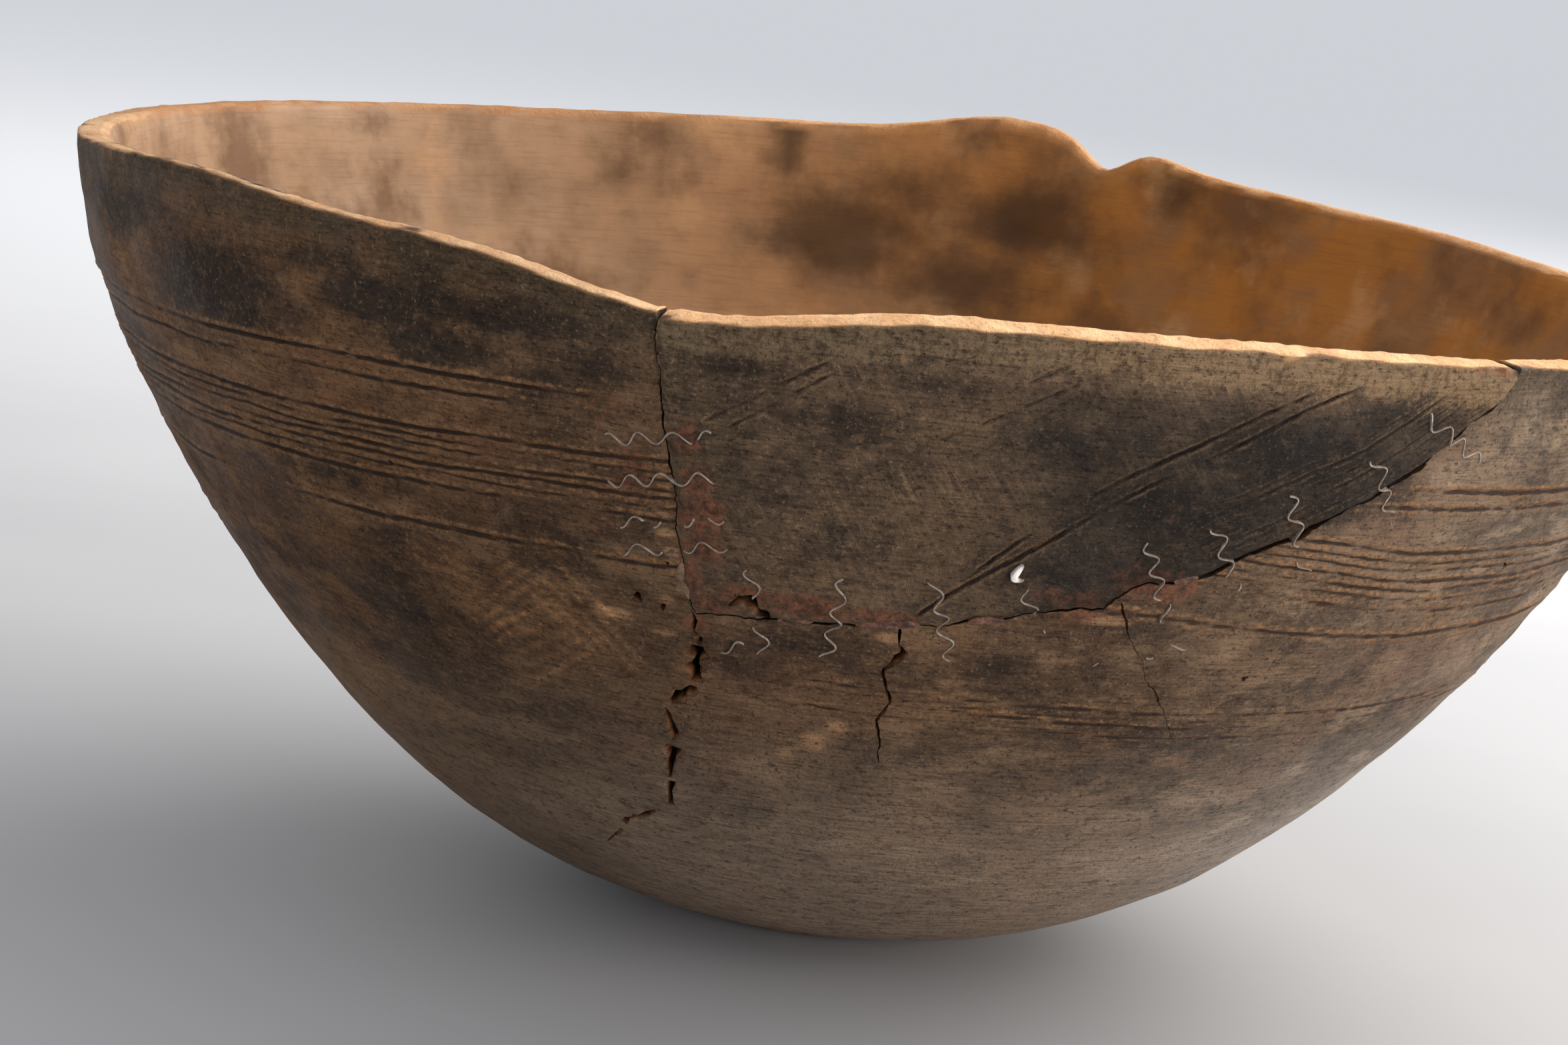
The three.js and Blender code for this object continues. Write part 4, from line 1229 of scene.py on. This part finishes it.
def hardened(name, seed, lump_size, tones, specks, roughness):
    """A hard, lumpy filling in two mottled tones, with fine specks."""
    nodes = Nodes(name)
    colour = nodes.mix(nodes.step(nodes.noise(lump_size, detail=4, seed=seed), 0.35, 0.65), *tones)
    colour = nodes.cover(colour, nodes.noise(0.8, seed=seed + 1), 0.6, 0.72, 0.7, specks)
    return nodes.finish(colour, roughness, nodes.noise(0.9, detail=4, seed=seed + 2), 0.35)


def resin():
    return hardened("resin", 91, 2.0, ((0.05, 0.02, 0.012), (0.14, 0.055, 0.03)), (0.3, 0.17, 0.1), 0.55)


def putty():
    return hardened("putty", 95, 1.8, ((0.1, 0.058, 0.032), (0.2, 0.125, 0.07)), (0.05, 0.03, 0.02), 0.8)


# ---- putting the pieces together ----

def give(piece, node, material):
    piece.data.materials.clear()
    piece.data.materials.append(material)
    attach(piece, "root")
    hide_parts(node)


def make_bowl():
    body = body_shell()
    patch = patch_slab()
    cut(body, patch_cutter(SEAM_GAP / 2, BODY_WEAR), "DIFFERENCE")
    cut(patch, patch_cutter(-SEAM_GAP / 2, PATCH_WEAR), "INTERSECT")
    for name, run in CRACKS.items():
        cut(body, crack_cutter(f"crack_{name}", run), "DIFFERENCE")
    for hole in WORM_HOLES:
        cut(body, worm_hole_cutter(*hole), "DIFFERENCE")
    for piece in (body, patch):
        cut(piece, crack_cutter("joint_hole", JOINT_HOLE), "DIFFERENCE")
    for piece, relief, lean, node, slot, looks in (
            (body, body_relief, body_lean, "bowl_body", "body_wood", (outer_body_colour, BODY_TORN)),
            (patch, patch_relief, patch_lean, "rim_patch", "patch_wood",
             (outer_patch_colour, PATCH_TORN, PATCH_RIGHT_PAINTED_SHADE))):
        mark_wood(piece, relief, lean)
        smooth_with_creases(piece, WOOD_CREASE)
        give(piece, node, wood(slot, *looks))


def make_hardware():
    steel_material = steel()
    for name, place in FASTENERS.items():
        give(fastener(name, *place), f"fastener_{name}", steel_material)
    filling = {"putty": putty(), "resin": resin()}
    for name, (kind, width, run) in FILLERS.items():
        give(filler(name, width, run), name, filling[kind])


# ---- floor, light and camera ----

# How far the floor reaches each way, and how far it lies under the foot, in metres.
FLOOR_REACH = 30
FLOOR_DROP = 0.0002


def floor():
    mesh = bpy.data.meshes.new("floor")
    corners = [(x * FLOOR_REACH, y * FLOOR_REACH, 0) for x, y in ((-1, -1), (1, -1), (1, 1), (-1, 1))]
    mesh.from_pydata(corners, [], [(0, 1, 2, 3)])
    piece = bpy.data.objects.new("floor", mesh)
    piece.location = (0, 0, -FLOOR_DROP)
    bpy.context.scene.collection.objects.link(piece)
    nodes = Nodes("pale_floor")
    cloudy = nodes.step(nodes.noise(300, seed=99), 0.3, 0.7)
    near = nodes.mix(cloudy, (0.45, 0.455, 0.475), (0.49, 0.495, 0.515))
    # Painted light and shade: the floor is darker near the bowl and grows paler far behind it, in place of
    # the bright wall.
    floor_painted_light_and_shade = nodes.mix(nodes.step(nodes.part(1), 0.1, 1.6), near, (0.86, 0.88, 0.92))
    mesh.materials.append(nodes.finish(floor_painted_light_and_shade, 0.6, nodes.noise(2, seed=98), 0.02))


# Each lamp: its place, size, power, colour, and where it aims.
LAMPS = {
    "window": ((0.9, 0.75, 1.1), (1.8, 1.4), 31, (1.0, 0.95, 0.88), (0, 0, 0.1)),
    "side_window": ((1.35, -0.45, 0.35), (0.9, 0.7), 7, (1.0, 0.94, 0.87), (0, 0, 0.1)),
    "low_fill": ((0.95, -0.95, 0.12), (1.1, 0.3), 8, (1.0, 0.96, 0.93), (0.02, -0.1, 0.05)),
}


def area_light(name, place, size, power, colour, aim):
    data = bpy.data.lights.new(name, "AREA")
    data.shape = "RECTANGLE"
    data.size, data.size_y = size
    data.energy = power
    data.color = colour
    light = bpy.data.objects.new(name, data)
    light.location = place
    light.rotation_euler = (Vector(aim) - Vector(place)).to_track_quat("-Z", "Y").to_euler()
    bpy.context.scene.collection.objects.link(light)


# How bright the pale room is where it lights the bowl, and where the camera sees it.
WORLD_LIGHT = 0.85
WORLD_SEEN = 0.88
WORLD_COLOUR = (0.82, 0.83, 0.85, 1)


def light_up():
    world = bpy.data.worlds.new("pale_room")
    world.use_nodes = True
    tree = world.node_tree
    back = tree.nodes["Background"]
    back.inputs[0].default_value = WORLD_COLOUR
    seen = tree.nodes.new("ShaderNodeLightPath").outputs["Is Camera Ray"]
    strength = tree.nodes.new("ShaderNodeMapRange")
    strength.inputs["To Min"].default_value = WORLD_LIGHT
    strength.inputs["To Max"].default_value = WORLD_SEEN
    tree.links.new(seen, strength.inputs["Value"])
    tree.links.new(strength.outputs[0], back.inputs[1])
    bpy.context.scene.world = world
    for name, settings in LAMPS.items():
        area_light(name, *settings)


# The camera's place in metres, its lens and sensor in millimetres, and its turns in degrees.
CAMERA_PLACE = (0, -0.885, 0.2556)
CAMERA_LENS = 85
CAMERA_SENSOR = 36
CAMERA_PAN = -1.158
CAMERA_DOWN = 10.48
CAMERA_ROLL = 6.407


def set_camera():
    data = bpy.data.cameras.new("camera")
    data.lens = CAMERA_LENS
    data.sensor_width = CAMERA_SENSOR
    data.clip_start, data.clip_end = 0.05, 100
    camera = bpy.data.objects.new("camera", data)
    bpy.context.scene.collection.objects.link(camera)
    pan, down = math.radians(CAMERA_PAN), math.radians(CAMERA_DOWN)
    forward = Vector((math.sin(pan) * math.cos(down), math.cos(pan) * math.cos(down), -math.sin(down)))
    level = forward.to_track_quat("-Z", "Y").to_matrix()
    roll = Matrix.Rotation(math.radians(CAMERA_ROLL), 3, "Z")
    camera.matrix_world = Matrix.Translation(CAMERA_PLACE) @ (level @ roll).to_4x4()
    bpy.context.scene.camera = camera


bpy.context.scene.view_settings.view_transform = "Standard"
make_bowl()
make_hardware()
floor()
light_up()
set_camera()
